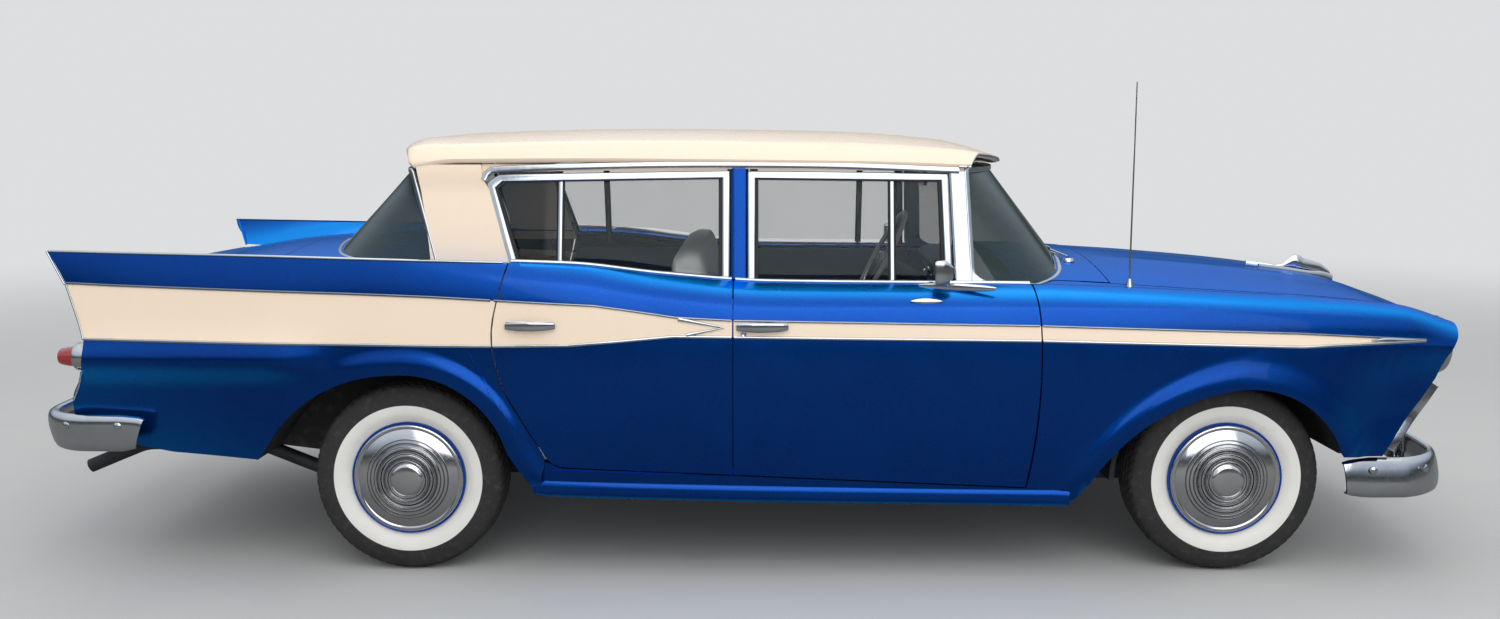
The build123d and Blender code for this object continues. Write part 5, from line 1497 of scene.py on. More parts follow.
@dataclass
class MiddlePanels:
    """The panels that cross the car: hood, cowl, front panel, deck, boot lid and tail panel."""

    hood_rear_x: float = 1236
    hood_front_x: float = 2272
    hood_rear_half: float = 645
    crease_y: float = 250
    hood_front_half: float = 596
    lid_front_x: float = -1640
    lid_half: float = 655
    lid_foot_z: float = 640
    across: int = 97

    def hood(self) -> Shape:
        """The hood's skin with its two long creases and a rolled front edge."""
        xs = np.linspace(self.hood_rear_x, self.hood_front_x, 90)
        halves = lerp(self.hood_rear_half, self.hood_front_half, (xs - xs[0]) / (xs[-1] - xs[0]))
        grid = over(xs, halves, self.across)
        ridge = 5.0 * np.exp(-((np.abs(grid[..., 1]) - self.crease_y) / 60) ** 2)
        ridge = ridge * smooth((grid[..., 0] - xs[0]) / 300)
        grid[..., 2] += ridge * smooth((self.hood_front_x - grid[..., 0]) / 200)
        return self.upward(grid, 18.0)

    @staticmethod
    def upward(grid: Array, depth: float) -> Shape:
        """A thick panel of a grid, turned to face up."""
        return thick(toward(grid, (0, 0, 1)), depth)

    def ornament(self) -> Shape:
        """A low dart over the hood's nose with two trailing strips."""
        t = evenly(40)
        x = lerp(2024.0, 2276.0, t)
        top = FORM.bare(x, 3.0)[:, 2]
        lift = np.interp(x, [2024, 2080, 2128, 2150, 2215, 2250, 2276], [4, 20, 66, 54, 52, 38, 8])
        dart = carried(dots(x, 0.0, top + lift * 0.5), rounded(1, 1, 0.45, base=-0.5), (0, 0, 1),
                       scale=dots(lift, 6 + 22 * np.sin(np.pi * np.clip(t * 0.95, 0, 1)) ** 2))
        wing = []
        for side in (-1, 1):
            path = FORM.on_top(dots(np.linspace(1960, 2262, 40), np.linspace(66, 20, 40))) * (1, -side, 1)
            rise = dots(1 + 1.2 * smooth((path[:, 0] - 2150) / 90), 0.9)
            wing.append(carried(path, moulding(17, 11), (0, 0, 1), scale=rise))
        return dart + sum(wing)

    def cowl(self) -> Shape:
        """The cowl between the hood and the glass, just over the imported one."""
        xs = np.linspace(905, self.hood_rear_x - 5, 34)
        halves = np.interp(xs, [905, 1040, 1231], [716, 650, 641])
        return self.upward(over(xs, halves, self.across, -1.5), 6.0)

    def wipers(self) -> Shape:
        """Two wiper arms on their posts, with blades lying along the glass's foot."""
        parts = []
        for y in (-380.0, 200.0):
            t = evenly(24)[:, None]
            foot = FORM.on_top([(1150.0, abs(y))])[0] * (1, np.sign(y) * -1, 1)
            arm = lerp(foot + (0, 0, 14), foot + (-44, 300, 32), t)
            blade = arm[10:] + (-9, 30, 6)
            post = spun([(0, 0), (14, 0), (12, 16), (6, 22), (0, 23)], foot, (0, 0, 1), 24)
            parts += [carried(arm, rounded(7, 9, 3), (0, 0, 1)), carried(blade, rounded(10, 5, 2), (0, 0, 1)), post]
        return sum(parts)

    def front(self) -> Shape:
        """The front panel between the fenders: a lip over the top, then down the nose's outline."""
        z = np.concatenate([np.linspace(843, 800, 8), np.linspace(795, 662, 22)])
        share = np.linspace(-1, 1, 121)
        skin = -FORM.on_side(dots(nose_x(z) - 4, np.minimum(z, 845)))[:, 1] - 2
        y = np.minimum(skin, 866)[:, None] * share[None]
        lip_x = real([2277, 2292, 2308, 2322, 2331])
        lip = over(lip_x, np.full(5, 590.0), 81, 0.0)
        crown = np.interp(np.abs(y), np.abs(lip[-1, 40:, 1]), lip[-1, 40:, 2]) - 4
        height = z[:, None] + (crown - z[0]) * np.clip((z[:, None] - 780) / (z[0] - 780), 0, 1)
        face = dots(nose_x(height), y, height)
        return self.upward(lip, 8.0) + thick(toward(face, (1, 0, 0)), 4.0)

    def deck(self) -> Shape:
        """The deck round the rear window."""
        xs = np.linspace(-1010, self.lid_front_x + 5, 40)
        return self.upward(over(xs, np.full(40, self.lid_half + 3), self.across, -1.0), 6.0)

    def lid(self) -> Shape:
        """The boot lid: its top, a tight turn and its face down to the lock."""
        xs = np.linspace(self.lid_front_x, -2250, 48)
        top = over(xs, np.full(48, self.lid_half), self.across)
        z0 = top[-1, :, 2]
        share = np.linspace(0.03, 1, 34)[:, None]
        z = lerp(z0[None], self.lid_foot_z, share)
        face = dots(tail_x(z) - 1, top[-1, :, 1], z)
        return self.upward(np.concatenate([top, face]), 16.0)

    def tail(self) -> Shape:
        """The tail's lower panel, and the ends beside the lid up into the fins."""
        z = np.linspace(457, self.lid_foot_z - 5, 26)
        skin = -FORM.on_side(dots(tail_x(z), z))[:, 1] - 3
        y = skin[:, None] * np.linspace(-1, 1, 81)[None]
        lower = dots(tail_x(z)[:, None] + 2, y, z[:, None])
        shape = thick(toward(lower, (-1, 0, 0)), 8.0)
        z = np.linspace(self.lid_foot_z - 6, 1082, 60)
        outer = -FORM.bare(tail_x(z), FORM.share_at_z(tail_x(z), z))[:, 1] - 2
        inner = np.maximum(self.lid_half + 5, np.minimum(690 + (z - 962) * 0.864, outer - 6))
        y = -lerp(inner[:, None], outer[:, None], evenly(13)[None])
        end = dots(tail_x(z)[:, None] + 2, y, z[:, None])
        return shape + thick(toward(end, (-1, 0, 0)), 8.0).both()

    def bright(self) -> Shape:
        """The lid's bright strip and lock."""
        y = np.linspace(-self.lid_half + 12, self.lid_half - 12, 40)
        strip = carried(dots(tail_x(820.0) - 1, y, 820.0), moulding(16, 7), (-1, 0, 0))
        lock = [(0, 0), (17, 0), (20, 6), (14, 13), (0, 15)]
        return strip + spun(lock, (float(tail_x(712.0)), 0, 712), (-1, 0, 0), 36)

    def build(self) -> None:
        """Builds the cross panels and dresses them."""
        piece("hood_skin", self.hood(), Finish.BLUE, "hood", body="hood")
        piece("hood_ornament", self.ornament(), Finish.CHROME, body="hood")
        piece("cowl_skin", self.cowl(), Finish.BLUE)
        piece("wipers", self.wipers(), Finish.CHROME)
        piece("front_panel_skin", self.front(), Finish.BLUE, "front_panel")
        piece("rear_deck_skin", self.deck(), Finish.BLUE, "rear_deck")
        piece("boot_lid_skin", self.lid(), Finish.BLUE, "trunk_lid", body="trunk_lid")
        piece("boot_lid_trim", self.bright(), Finish.CHROME, body="trunk_lid")
        piece("tail_panel_skin", self.tail(), Finish.BLUE, "tail_panel")


@dataclass
class Sills:
    """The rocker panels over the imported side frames, with their bright lower strips."""

    rear_x: float = -722
    front_x: float = 1058

    def build(self) -> None:
        """Builds both sides' rockers."""
        xs = np.linspace(self.rear_x, self.front_x, 90)
        top = np.interp(xs, [self.rear_x, -700, -676, -655, -625, -560, -55, 916, self.front_x],
                        [262, 360, 402, 382, 371, 368, 349, 306, 300])
        share = evenly(14)[:, None]
        grid = FORM.bare(xs, lerp(0.004, FORM.share_at_z(xs, top)[None], share)) + (0, 5, 0)
        skin = thick(toward(grid, (0, -1, 0)), 4.0)
        foot_z = np.interp(xs, [self.rear_x, -618, 29, 1019, self.front_x], [305, 302, 290, 276, 274])
        foot = FORM.bare(xs, FORM.share_at_z(xs, foot_z))
        size = dots(1.0, np.clip((xs - self.rear_x) / 40 + 0.5, 0, 1))
        bead = carried(foot, moulding(58, 12), (0, -1, 0.1), scale=size)
        for side in Side:
            piece(f"rocker_{side.word}", skin.on(side), Finish.BLUE)
            piece(f"rocker_bead_{side.word}", bead.on(side), Finish.BLUE)


@dataclass
class Greenhouse:
    """The roof with its pillars, the curved screens and their bright surrounds."""

    roof_sections: tuple = (
        (-1300, 1390, 1344), (-1230, 1437, 1362), (-1150, 1460, 1369), (-1010, 1474, 1374), (-400, 1488, 1380),
        (300, 1479, 1378), (700, 1450, 1370), (980, 1362, 1340),
    )
    plan: tuple = (940, 738, 702, -1146, 690, -1264, 0.57)
    eave_turn: float = 92
    half: float = 702
    base_z: float = 1352
    thickness: float = 26

    def roof_z(self, x: Array, y: Array) -> Array:
        """The roof's height: an even crown out to the turn, then a bowed fall to the eave."""
        rows = real(self.roof_sections)
        crown, eave = np.moveaxis(along(rows[:, 0], rows[:, 1:], x), -1, 0)
        inner = self.half - self.eave_turn
        turn = eave + 0.62 * (crown - eave)
        middle = crown - (crown - turn) * (np.abs(y) / inner) ** 2
        t = np.clip((np.abs(y) - inner) / self.eave_turn, 0, 1)
        bow = 13 * 4 * t * (1 - t)
        side = lerp(turn, eave, t) + bow
        return np.where(np.abs(y) < inner, middle, side)

    def roof(self) -> Shape:
        """The roof panel out to its bowed plan, with its edge rolled under."""
        half = HOUSE.plan(*self.plan)
        edge = spread(half, 150)
        span = np.concatenate([edge, edge[-2:0:-1] * (1, -1)])
        middle = lerp(self.plan[0], self.plan[5], evenly(150))
        centre = dots(np.concatenate([middle, middle[-2:0:-1]]), 0.0)
        share = 1 - (1 - evenly(34)) ** 1.6
        plan = lerp(centre[None], span[None], share[:, None, None])
        z = np.maximum(self.roof_z(plan[..., 0], plan[..., 1]), self.base_z + 14)
        rear = smooth((-1000 - plan[..., 0]) / 150)
        s = share[:, None]
        z += rear * (26 * s**4 * np.sqrt(1 - s**14) - 14 * smooth((s - 0.75) / 0.25))
        top = np.concatenate([plan, z[..., None]], -1)
        away = (centre - span) / (np.linalg.norm(centre - span, axis=1, keepdims=True) + 1e-6)
        under = [dots(*(span + away * inset).T, top[-1, :, 2] - drop)
                 for inset, drop in ((1.5, 5.0), (6.0, 11.0), (14.0, 15.0), (30.0, 16.0))]
        return sheet(np.concatenate([top, np.array(under)]), closed_v=True).facing((0, 0, 1))

    def headlining(self) -> Shape:
        """The cloth under the roof."""
        xs = np.linspace(self.plan[5] + 45, self.plan[0] - 60, 60)
        half = np.interp(xs, [-1224, -1190, -1140, 738, 800, 880], [380, 560, 650, 665, 610, 330])
        y = half[:, None] * np.linspace(-1, 1, 41)[None]
        x = np.broadcast_to(xs[:, None], y.shape)
        z = np.maximum(self.roof_z(x, y) - self.thickness - 4, self.base_z - 12)
        return sheet(dots(x, y, z)).facing((0, 0, -1))

    def rear_pillar(self) -> Shape:
        """The broad pillar between the rear door and the rear window, from the deck to the roof."""
        edges = (
            ((-784, 1010), (-815, 1120), (-850, 1225), (-880, 1290), (-898, 1318), (-905, 1368)),
            ((-1063, 1010), (-1074, 1090), (-1087, 1177), (-1106, 1275), (-1119, 1336), (-1124, 1368)),
        )
        z = lerp(1010.0, 1368.0, evenly(30))
        front, rear = (np.interp(z, *real(edge).T[::-1])[:, None] for edge in edges)
        line = dots(lerp(front, rear, evenly(24)[None]), z[:, None])
        grid = HOUSE.on_side(line, -1.0)
        grid[..., 1] -= 15 * smooth((line[..., 1] - 1270) / 90)
        return thick(toward(grid, (0, -1, 0)), 30.0)

    def header(self) -> tuple[Shape, Shape]:
        """The band between the door frames and the roof's edge, and the centre post."""
        xs = np.linspace(728, -905, 60)
        low = dots(xs, np.interp(xs, [-905, -850, -12, 670, 728], [1320, 1343, 1353, 1345, 1337]))
        high = dots(xs, 1370.0)
        rail = side_band(high, low, 0, 30)
        post = side_band([(-64.0, 990), (-64, 1356)], [(-12.0, 990), (-12, 1356)], 1, 26)
        return rail, post

    def front_pillar(self) -> Shape:
        """The bright windshield pillar, flaring forward at its foot."""
        zs = np.linspace(978, 1345, 24)
        low = dots(np.interp(zs, [978, 1000, 1345], [687, 684, 668]), zs)
        high = dots(np.interp(zs, [978, 992, 1010, 1060, 1345], [800, 770, 752, 741, 727]), zs)
        return side_band(high, low, 3, 26)

    def screen(self, s0: float, s1: float, top_z: float, inset: float) -> Array:
        """A curved screen's outer points between two places along the plan, from the body up to a height."""
        s = np.linspace(s0, s1, 90)
        z = np.full(90, 1010.0)
        for _ in range(12):
            at = HOUSE.point(s, z, inset)
            z = 0.5 * z + 0.5 * (FORM.on_top(dots(at[:, 0], np.abs(at[:, 1])))[:, 2] - 6)
        share = evenly(30)[:, None]
        half = HOUSE.point(s, lerp(z[None], top_z, share), inset)
        other = half[:, ::-1] * (1, -1, 1)
        pair = [half, other[:, 1:]] if abs(half[0, -1, 1]) < 1 else [other[:, :-1], half]
        return np.concatenate(pair, axis=1)

    def glass(self, grid: Array) -> Shape:
        """A screen's glass, 5 mm thick."""
        out = grid[grid.shape[0] // 2, grid.shape[1] // 2] - (0, 0, 1150)
        facing = grid_normals(grid)[grid.shape[0] // 2, grid.shape[1] // 2]
        return thick(grid if facing[0] * out[0] > 0 else grid[:, ::-1], 5.0, 0.5)

    def surround(self, grid: Array, width: float, lift: float) -> Shape:
        """A bright bead round a screen's edge."""
        foot, head = grid[0], grid[-1]
        path = np.concatenate([foot, grid[1:-1, -1], head[::-1], grid[-2:0:-1, 0]])
        x = path[:, 0].mean()
        out = (path - (x - np.sign(x) * 500, 0, 0)) * (1, 1, 0.0)
        return carried(path, rounded(lift, width, min(lift, width) * 0.35, base=-3), out, closed=True)

    def rails(self) -> Shape:
        """The drip rail over the doors, running down the rear pillar's front, and the lip over the windshield."""
        corners = [(-895, 1316), (-884, 1338), (-840, 1352), (-500, 1364), (-130, 1369), (300, 1365), (700, 1350)]
        line = spread(corners, 70, curved=True)
        path = dots(line[:, 0], HOUSE.on_side(line)[:, 1] - 6, line[:, 1])
        rail = carried(path, rounded(16, 22, 6, base=-8), (0, -1, 0.25))
        edge = HOUSE.plan(*self.plan)
        edge = spread(edge[edge[:, 0] > 690], 60)
        z = np.maximum(self.roof_z(edge[:, 0], edge[:, 1]), self.base_z + 14) - 7
        lip = carried(np.concatenate([edge, z[:, None]], 1), rounded(8, 9, 3, base=-6), (1, 0, 0.1))
        return rail + lip

    def build(self) -> None:
        """Builds the roof, pillars, glass and bright work."""
        piece("roof_skin", self.roof(), Finish.CREAM, "roof")
        piece("headlining", self.headlining(), Finish.HEADLINING)
        piece("rear_pillars", self.rear_pillar().both(), Finish.CREAM)
        rail, post = self.header()
        piece("cant_rails", rail.both(), Finish.CREAM)
        piece("centre_posts", post.both(), Finish.BLUE)
        piece("front_pillars", self.front_pillar().both(), Finish.CHROME)
        piece("drip_rails", self.rails().both(), Finish.CHROME)
        windshield = self.screen(2.0, 0.0, 1349, 10)
        rear = self.screen(3.0, 5.0, 1347, 10)
        piece("windshield_glass", self.glass(windshield), Finish.TINTED, "windshield")
        piece("rear_window_glass", self.glass(rear), Finish.TINTED, "rear_window")
        piece("windshield_surround", self.surround(windshield, 20, 15), Finish.CHROME)
        piece("rear_window_surround", self.surround(rear, 18, 14), Finish.CHROME)


# Bumpers, grille and lamps


@dataclass
class Bumper:
    """A wraparound bumper: a pressed bar with a crease, its guards, bolts and a blank plate."""

    name: str
    way: int
    centre_x: float
    bend_x: float
    bend_y: float
    side_y: float
    end_x: float
    bottom: float
    top: float
    guard_top: float
    slant: float

    def path(self) -> Array:
        """The bar's line in plan: bowed face, turned corner and straight end, right to left."""
        face = arc((self.bend_x, -self.bend_y), (self.centre_x, 0), (self.bend_x, self.bend_y), 81)
        turn = tangent_arc(face[-1], face[-1] - face[-2], (self.bend_x - 200, self.side_y), 22)[1:]
        side = lerp(turn[-1], np.array([self.end_x, self.side_y + 4.0]), evenly(12)[1:, None])
        half = np.concatenate([turn, side])
        return np.concatenate([half[::-1] * (1, -1), face, half])

    def bar(self) -> Shape:
        """The bar's section along its path: flat top, bright upper face, a crease and a lower face tucked under."""
        flat = self.path()
        tall = self.top - self.bottom
        profile = np.array([
            (-40, 0.42), (-36, 0.475), (-26, 0.50), (-14, 0.487), (-5, 0.44), (-0.5, 0.34), (0, 0.22), (-1, 0.08),
            (-4, -0.06), (-8, -0.20), (-13, -0.34), (-20, -0.45), (-30, -0.50), (-40, -0.48), (-40, -0.42),
            (-30, -0.42), (-20, -0.30), (-13, -0.08), (-10, 0.12), (-10, 0.30), (-18, 0.42), (-32, 0.44),
        ]) * (1, tall)
        path = np.concatenate([flat, np.full((len(flat), 1), (self.top + self.bottom) / 2)], 1)
        way = np.gradient(flat, axis=0)
        out = dots(way[:, 1], -way[:, 0], 0.0)
        end = np.clip(np.minimum(np.arange(len(flat)), np.arange(len(flat))[::-1]) / 5, 0, 1)
        size = dots(0.72 + 0.28 * end, 0.80 + 0.20 * np.sqrt(end))
        shape = carried(path * (self.way, 1, 1), profile, out * (self.way, 1, 1), scale=size)
        reach = np.abs(shape.points[:, 0])
        lower = (self.top - shape.points[:, 2]) / tall
        shape.points[:, 0] += self.way * self.slant * lower * smooth((self.end_x + 110 - reach) / 100)
        return shape

    def guards(self) -> Shape:
        """Two upright guards with rounded heads, and bolt heads along the bar."""
        parts = []
        for y in (-330.0, 330.0):
            zs = np.linspace(self.bottom + 2, self.guard_top, 20)
            x = self.way * (np.interp(330, [0, self.bend_y], [self.centre_x, self.bend_x]) - 12)
            path = dots(x, y, zs)
            share = evenly(20)
            size = dots(0.7 + 0.3 * np.sin(np.pi * share), np.sqrt(np.clip(1.04 - share**8, 0.05, 1)))
            parts.append(carried(path, rounded(34, 66, 16, base=-16), (self.way, 0, 0), scale=size))
        flat = self.path()
        last = len(flat) - 1
        for k in (5, 16, len(flat) // 2 - 22, len(flat) // 2 + 22, last - 16, last - 5):
            way = flat[k + 1] - flat[k - 1]
            out = np.array([way[1], -way[0], 0.0]) / np.linalg.norm(way) * (self.way, 1, 1)
            at = np.array([flat[k][0] * self.way, flat[k][1], self.bottom + 0.72 * (self.top - self.bottom)])
            parts.append(spun([(-2, 0), (-2, 13), (1, 13), (4, 9), (5, 0)], at, out, 20))
        return sum(parts)

    def plate(self) -> Shape:
        """A blank plate on its bracket."""
        x = self.way * (self.centre_x - (3 if self.way > 0 else 14))
        z = (self.top + self.bottom) / 2
        path = [(x - self.way * 4, 0, z), (x + self.way * 8, 0, z)]
        return carried(path, rounded(152, 305, 10, base=-76), (0, 0, 1))

    def build(self) -> None:
        """Builds the bumper and dresses it."""
        piece(f"{self.name}_bar", self.bar(), Finish.CHROME, self.name)
        piece(f"{self.name}_guards", self.guards(), Finish.CHROME)
        piece(f"{self.name}_plate", self.plate(), Finish.PLATE, bevel=1)


@dataclass
class Grille:
    """The grille: bowed bars over upright posts, leaning back, within a bright surround."""

    top: tuple = (2268, 664)
    foot: tuple = (2112, 440)
    half: float = 780
    bow: float = 46
    bars: int = 8
    posts: int = 13

    def line(self, share: float, half: float, count: int = 60) -> Array:
        """One bowed line across the grille at a share of its height."""
        y = np.linspace(-half, half, count)
        x = lerp(self.top[0], self.foot[0], share) - self.bow * (y / self.half) ** 2
        return dots(x, y, lerp(self.top[1] - 10.0, self.foot[1] + 2.0, share))

    def build(self) -> None:
        """Builds the bars, posts, surround, a dark sheet behind them as painted shade for the shaded space behind the
        bars, and the bright wings at the ends.
        """
        lean = (0.82, 0, -0.57)
        parts = [carried(self.line(k / (self.bars - 1), self.half), rounded(16, 12, 4, base=-14), lean)
                 for k in range(self.bars)]
        for y in np.linspace(-self.half * 0.98, self.half * 0.98, self.posts):
            sag = self.bow * (y / self.half) ** 2 + 7
            path = [(lerp(self.top[0], self.foot[0], s) - sag, y, lerp(self.top[1] - 8.0, self.foot[1], s))
                    for s in (0, 1)]
            parts.append(carried(path, rounded(10, 7, 2, base=-8), lean))
        rim = np.concatenate([self.line(0, 800, 50) + (6, 0, 6), self.line(1, 800, 50)[::-1] + (2, 0, -8)])
        ring = carried(rim, rounded(20, 26, 8, base=-12), lean, closed=True)
        # Painted shade: a flat dark sheet behind the bars stands in for the shaded space behind the grille.
        back = np.array([self.line(s, 800, 40) - (34, 0, 0) for s in (0, 0.5, 1)])
        piece("grille_bars", sum(parts), Finish.CHROME, "grille")
        piece("grille_surround", ring, Finish.CHROME)
        piece("grille_mesh", thick(back, 3.0), Finish.UNDERBODY)
        share = evenly(16)
        edge = FORM.on_side(dots(lerp(2244.0, 2104.0, share), lerp(652.0, 436.0, share))) + (13, 16, 0)
        size = dots(lerp(44.0, 26.0, share), 1.0)
        wing = carried(edge, rounded(1, 26, 9, base=-0.5), (1, 0, 0), scale=size)
        piece("grille_ends", wing.both(), Finish.CHROME, bevel=1)


@dataclass
class Lamps:
    """The four headlamps and the two tail lamps."""

    height: float = 768
    heads: tuple = ((2306, 738), (2318, 556))
    tail: tuple = (LAMP_X, 812, LAMP_Z)

    def build(self) -> None:
        """Builds bezels and lenses."""
        bezel = [(-8, 96), (6, 97), (16, 92), (21, 84), (20, 78), (10, 75), (2, 73), (-8, 74)]
        lens = [(4, 73), (9, 71), (19, 56), (25, 34), (27, 12), (27.5, 0), (3, 0)]
        places = [(x, side * y, self.height) for x, y in self.heads for side in (-1, 1)]
        rims = sum(spun(bezel, place, (1, 0, 0), 72, closed=True) for place in places)
        domes = sum(spun(lens, place, (1, 0, 0), 64, closed=True) for place in places)
        piece("headlamp_bezels", rims, Finish.CHROME, "headlamps")
        piece("headlamp_lenses", domes, Finish.LAMP_GLASS)
        x, y, z = self.tail
        ring = [(-14, 41), (20, 46), (34, 46), (41, 41), (41, 34), (4, 33), (-14, 35)]
        cone = [(8, 34), (44, 34), (64, 32), (90, 27), (95.5, 24), (97, 18), (97.5, 0), (4, 0)]
        rings = spun(ring, (x, -y, z), (-1, 0, 0), 64, closed=True).both()
        cones = spun(cone, (x, -y, z), (-1, 0, 0), 64, closed=True).both()
        piece("tail_lamp_bezels", rings, Finish.CHROME, "tail_lamps")
        piece("tail_lamp_lenses", cones, Finish.RED_LENS)


# Wheels


@dataclass
class Wheel:
    """A wheel with its whitewall tyre, painted rim and stepped bright cap."""

    end: str
    side: Side
    tread_blocks: int = 66

    def tyre(self) -> Shape:
        """The tyre: a rounded section spun round, its tread cut by four grooves and zigzag slots.

        The tread's radius falls by 7 mm in each groove, and by 4 mm in slots that step round the wheel.
        """
        wall = [(71, 183), (77, 199), (90, 220), (95.5, 246), (92, 274), (85, 296), (77, 309), (66, 316.5)]
        side = catmull(wall, 4)
        half = np.concatenate([side, dots(np.linspace(63, 0, 20), np.linspace(317.5, 322, 20))])
        profile = np.concatenate([half, half[-2::-1] * (-1, 1)])
        count = self.tread_blocks * 6
        turn = np.arange(count) / count
        across, radius = profile[:, 0], profile[:, 1]
        on_tread = smooth((radius - 308) / 6)
        groove = sum(np.exp(-(((np.abs(across) - g) / 3.2) ** 4)) for g in (14, 42)) * on_tread
        phase = turn[:, None] * self.tread_blocks + 0.02 * np.abs(across)[None]
        slot = (np.abs(phase % 1 - 0.5) < 0.13) * on_tread[None] * (np.abs(across)[None] > 20)
        r = radius[None] - 7 * groove[None] - 4 * slot * (1 - groove[None])
        y = np.broadcast_to(across[None], r.shape)
        angle = turn[:, None] * math.tau
        grid = dots(r * np.cos(angle), -y, r * np.sin(angle)) + (AXLE_X[self.end], -WHEEL_Y, WHEEL_Z)
        shape = sheet(grid, closed_u=True, closed_v=True, radius=np.broadcast_to(radius[None], r.shape),
                      outer=(y > 0).astype(float))
        return shape.outward()

    def wheel(self) -> dict[str, tuple[Shape, Finish]]:
        """The rim, the cap and the drum behind, by name."""
        centre = real([AXLE_X[self.end], -WHEEL_Y, WHEEL_Z])
        out = (0, -1, 0)
        rim = [(-84, 195), (-78, 196), (-73, 181), (-40, 170), (60, 172), (73, 181), (78, 189), (81, 192),
               (85, 191), (85, 186), (79, 178), (66, 168), (-84, 166)]
        rings = [(60, 172), (80, 181), (87, 183), (91, 180), (91.5, 174), (88, 168), (90, 164), (97, 146),
                 (103, 126), (105, 114)]
        steps = [(lerp(106, 112, k / 6) + d, lerp(110, 62, k / 6) + r)
                 for k in range(7) for d, r in ((0, 0), (2.4, -1.6), (2.2, -4.6), (-0.6, -6.2))]
        dome = [(112, 54), (117, 51), (119, 44), (120.5, 22), (121, 0), (60, 0)]
        cap = real(rings + steps + dome)
        drum = [(-80, 60), (-80, 132), (-20, 132), (-12, 120), (-12, 0), (-80, 0)]
        cover = spun(cap, centre, out, 128, closed=True)
        cover.marks["radius"] = np.hypot(*(cover.points - centre)[:, [0, 2]].T)
        return {
            "rim": (spun(rim, centre, out, 96, closed=True), Finish.RIM_BLUE),
            "cap": (cover, Finish.CAP),
            "drum": (spun(drum, centre, out, 64, closed=True), Finish.IRON),
        }

    def build(self) -> None:
        """Builds the wheel and dresses it."""
        body = f"wheel_{self.end}_{self.side.word}"
        node = f"tyre_{self.end}_{self.side.word}"
        piece(f"{body}_tyre", self.tyre().on(self.side), Finish.TYRE, node, body=body, angle=30)
        for k, (word, (shape, finish)) in enumerate(self.wheel().items()):
            nodes = (body,) if k == 0 else ()
            piece(f"{body}_{word}", shape.on(self.side), finish, *nodes, body=body, angle=50)


# Cabin


@dataclass
class Bench:
    """A bench seat: a pleated cushion and back."""

    name: str
    half: float
    cushion: tuple
    back: tuple
    pleats: int = 22
    puff: float = 9

    @staticmethod
    def pad(outline: Line, half: float, pleats: int, puff: float) -> Shape:
        """A stuffed form: a rounded outline carried across the car, drawn in at both ends and sewn into channels.

        Each point moves away from the outline's middle by the puff times a dome across the car, less a dip at
        each sewn channel.

        Args:
            outline: The section's corners as x and z.
            half: Half the form's width.
            pleats: How many channels across it.
            puff: How far it crowns.

        Returns:
            The closed form.
        """
        ring = catmull(real(outline), 7, closed=True)
        share = np.linspace(-1, 1, 161)
        y = half * np.sign(share) * np.abs(share) ** 0.94
        middle = ring.mean(axis=0)
        away = (ring - middle) / (np.linalg.norm(ring - middle, axis=1, keepdims=True) + 1e-6)
        dome = 1 - np.abs(share) ** 10
        end = (1 - np.abs(share) ** 26) ** 0.5
        sewn = np.abs(np.sin(np.pi * pleats * (share + 1) / 2)) ** 0.35
        push = puff * (dome * 0.6 + 0.4) * (0.25 + 0.75 * sewn)
        size = 0.72 + 0.28 * end
        grid = middle + (ring - middle)[None] * size[:, None, None] + away[None] * (push - puff)[:, None, None]
        return capped(dots(grid[..., 0], y[:, None], grid[..., 1]))

    def build(self) -> None:
        for word, outline, finish in (("cushion", self.cushion, Finish.CLOTH), ("back", self.back, Finish.BOLSTER)):
            nodes = (self.name,) if word == "cushion" else ()
            shape = self.pad(outline, self.half, self.pleats, self.puff)
            pad = piece(f"{self.name}_{word}", shape, finish, *nodes, levels=1, angle=80)


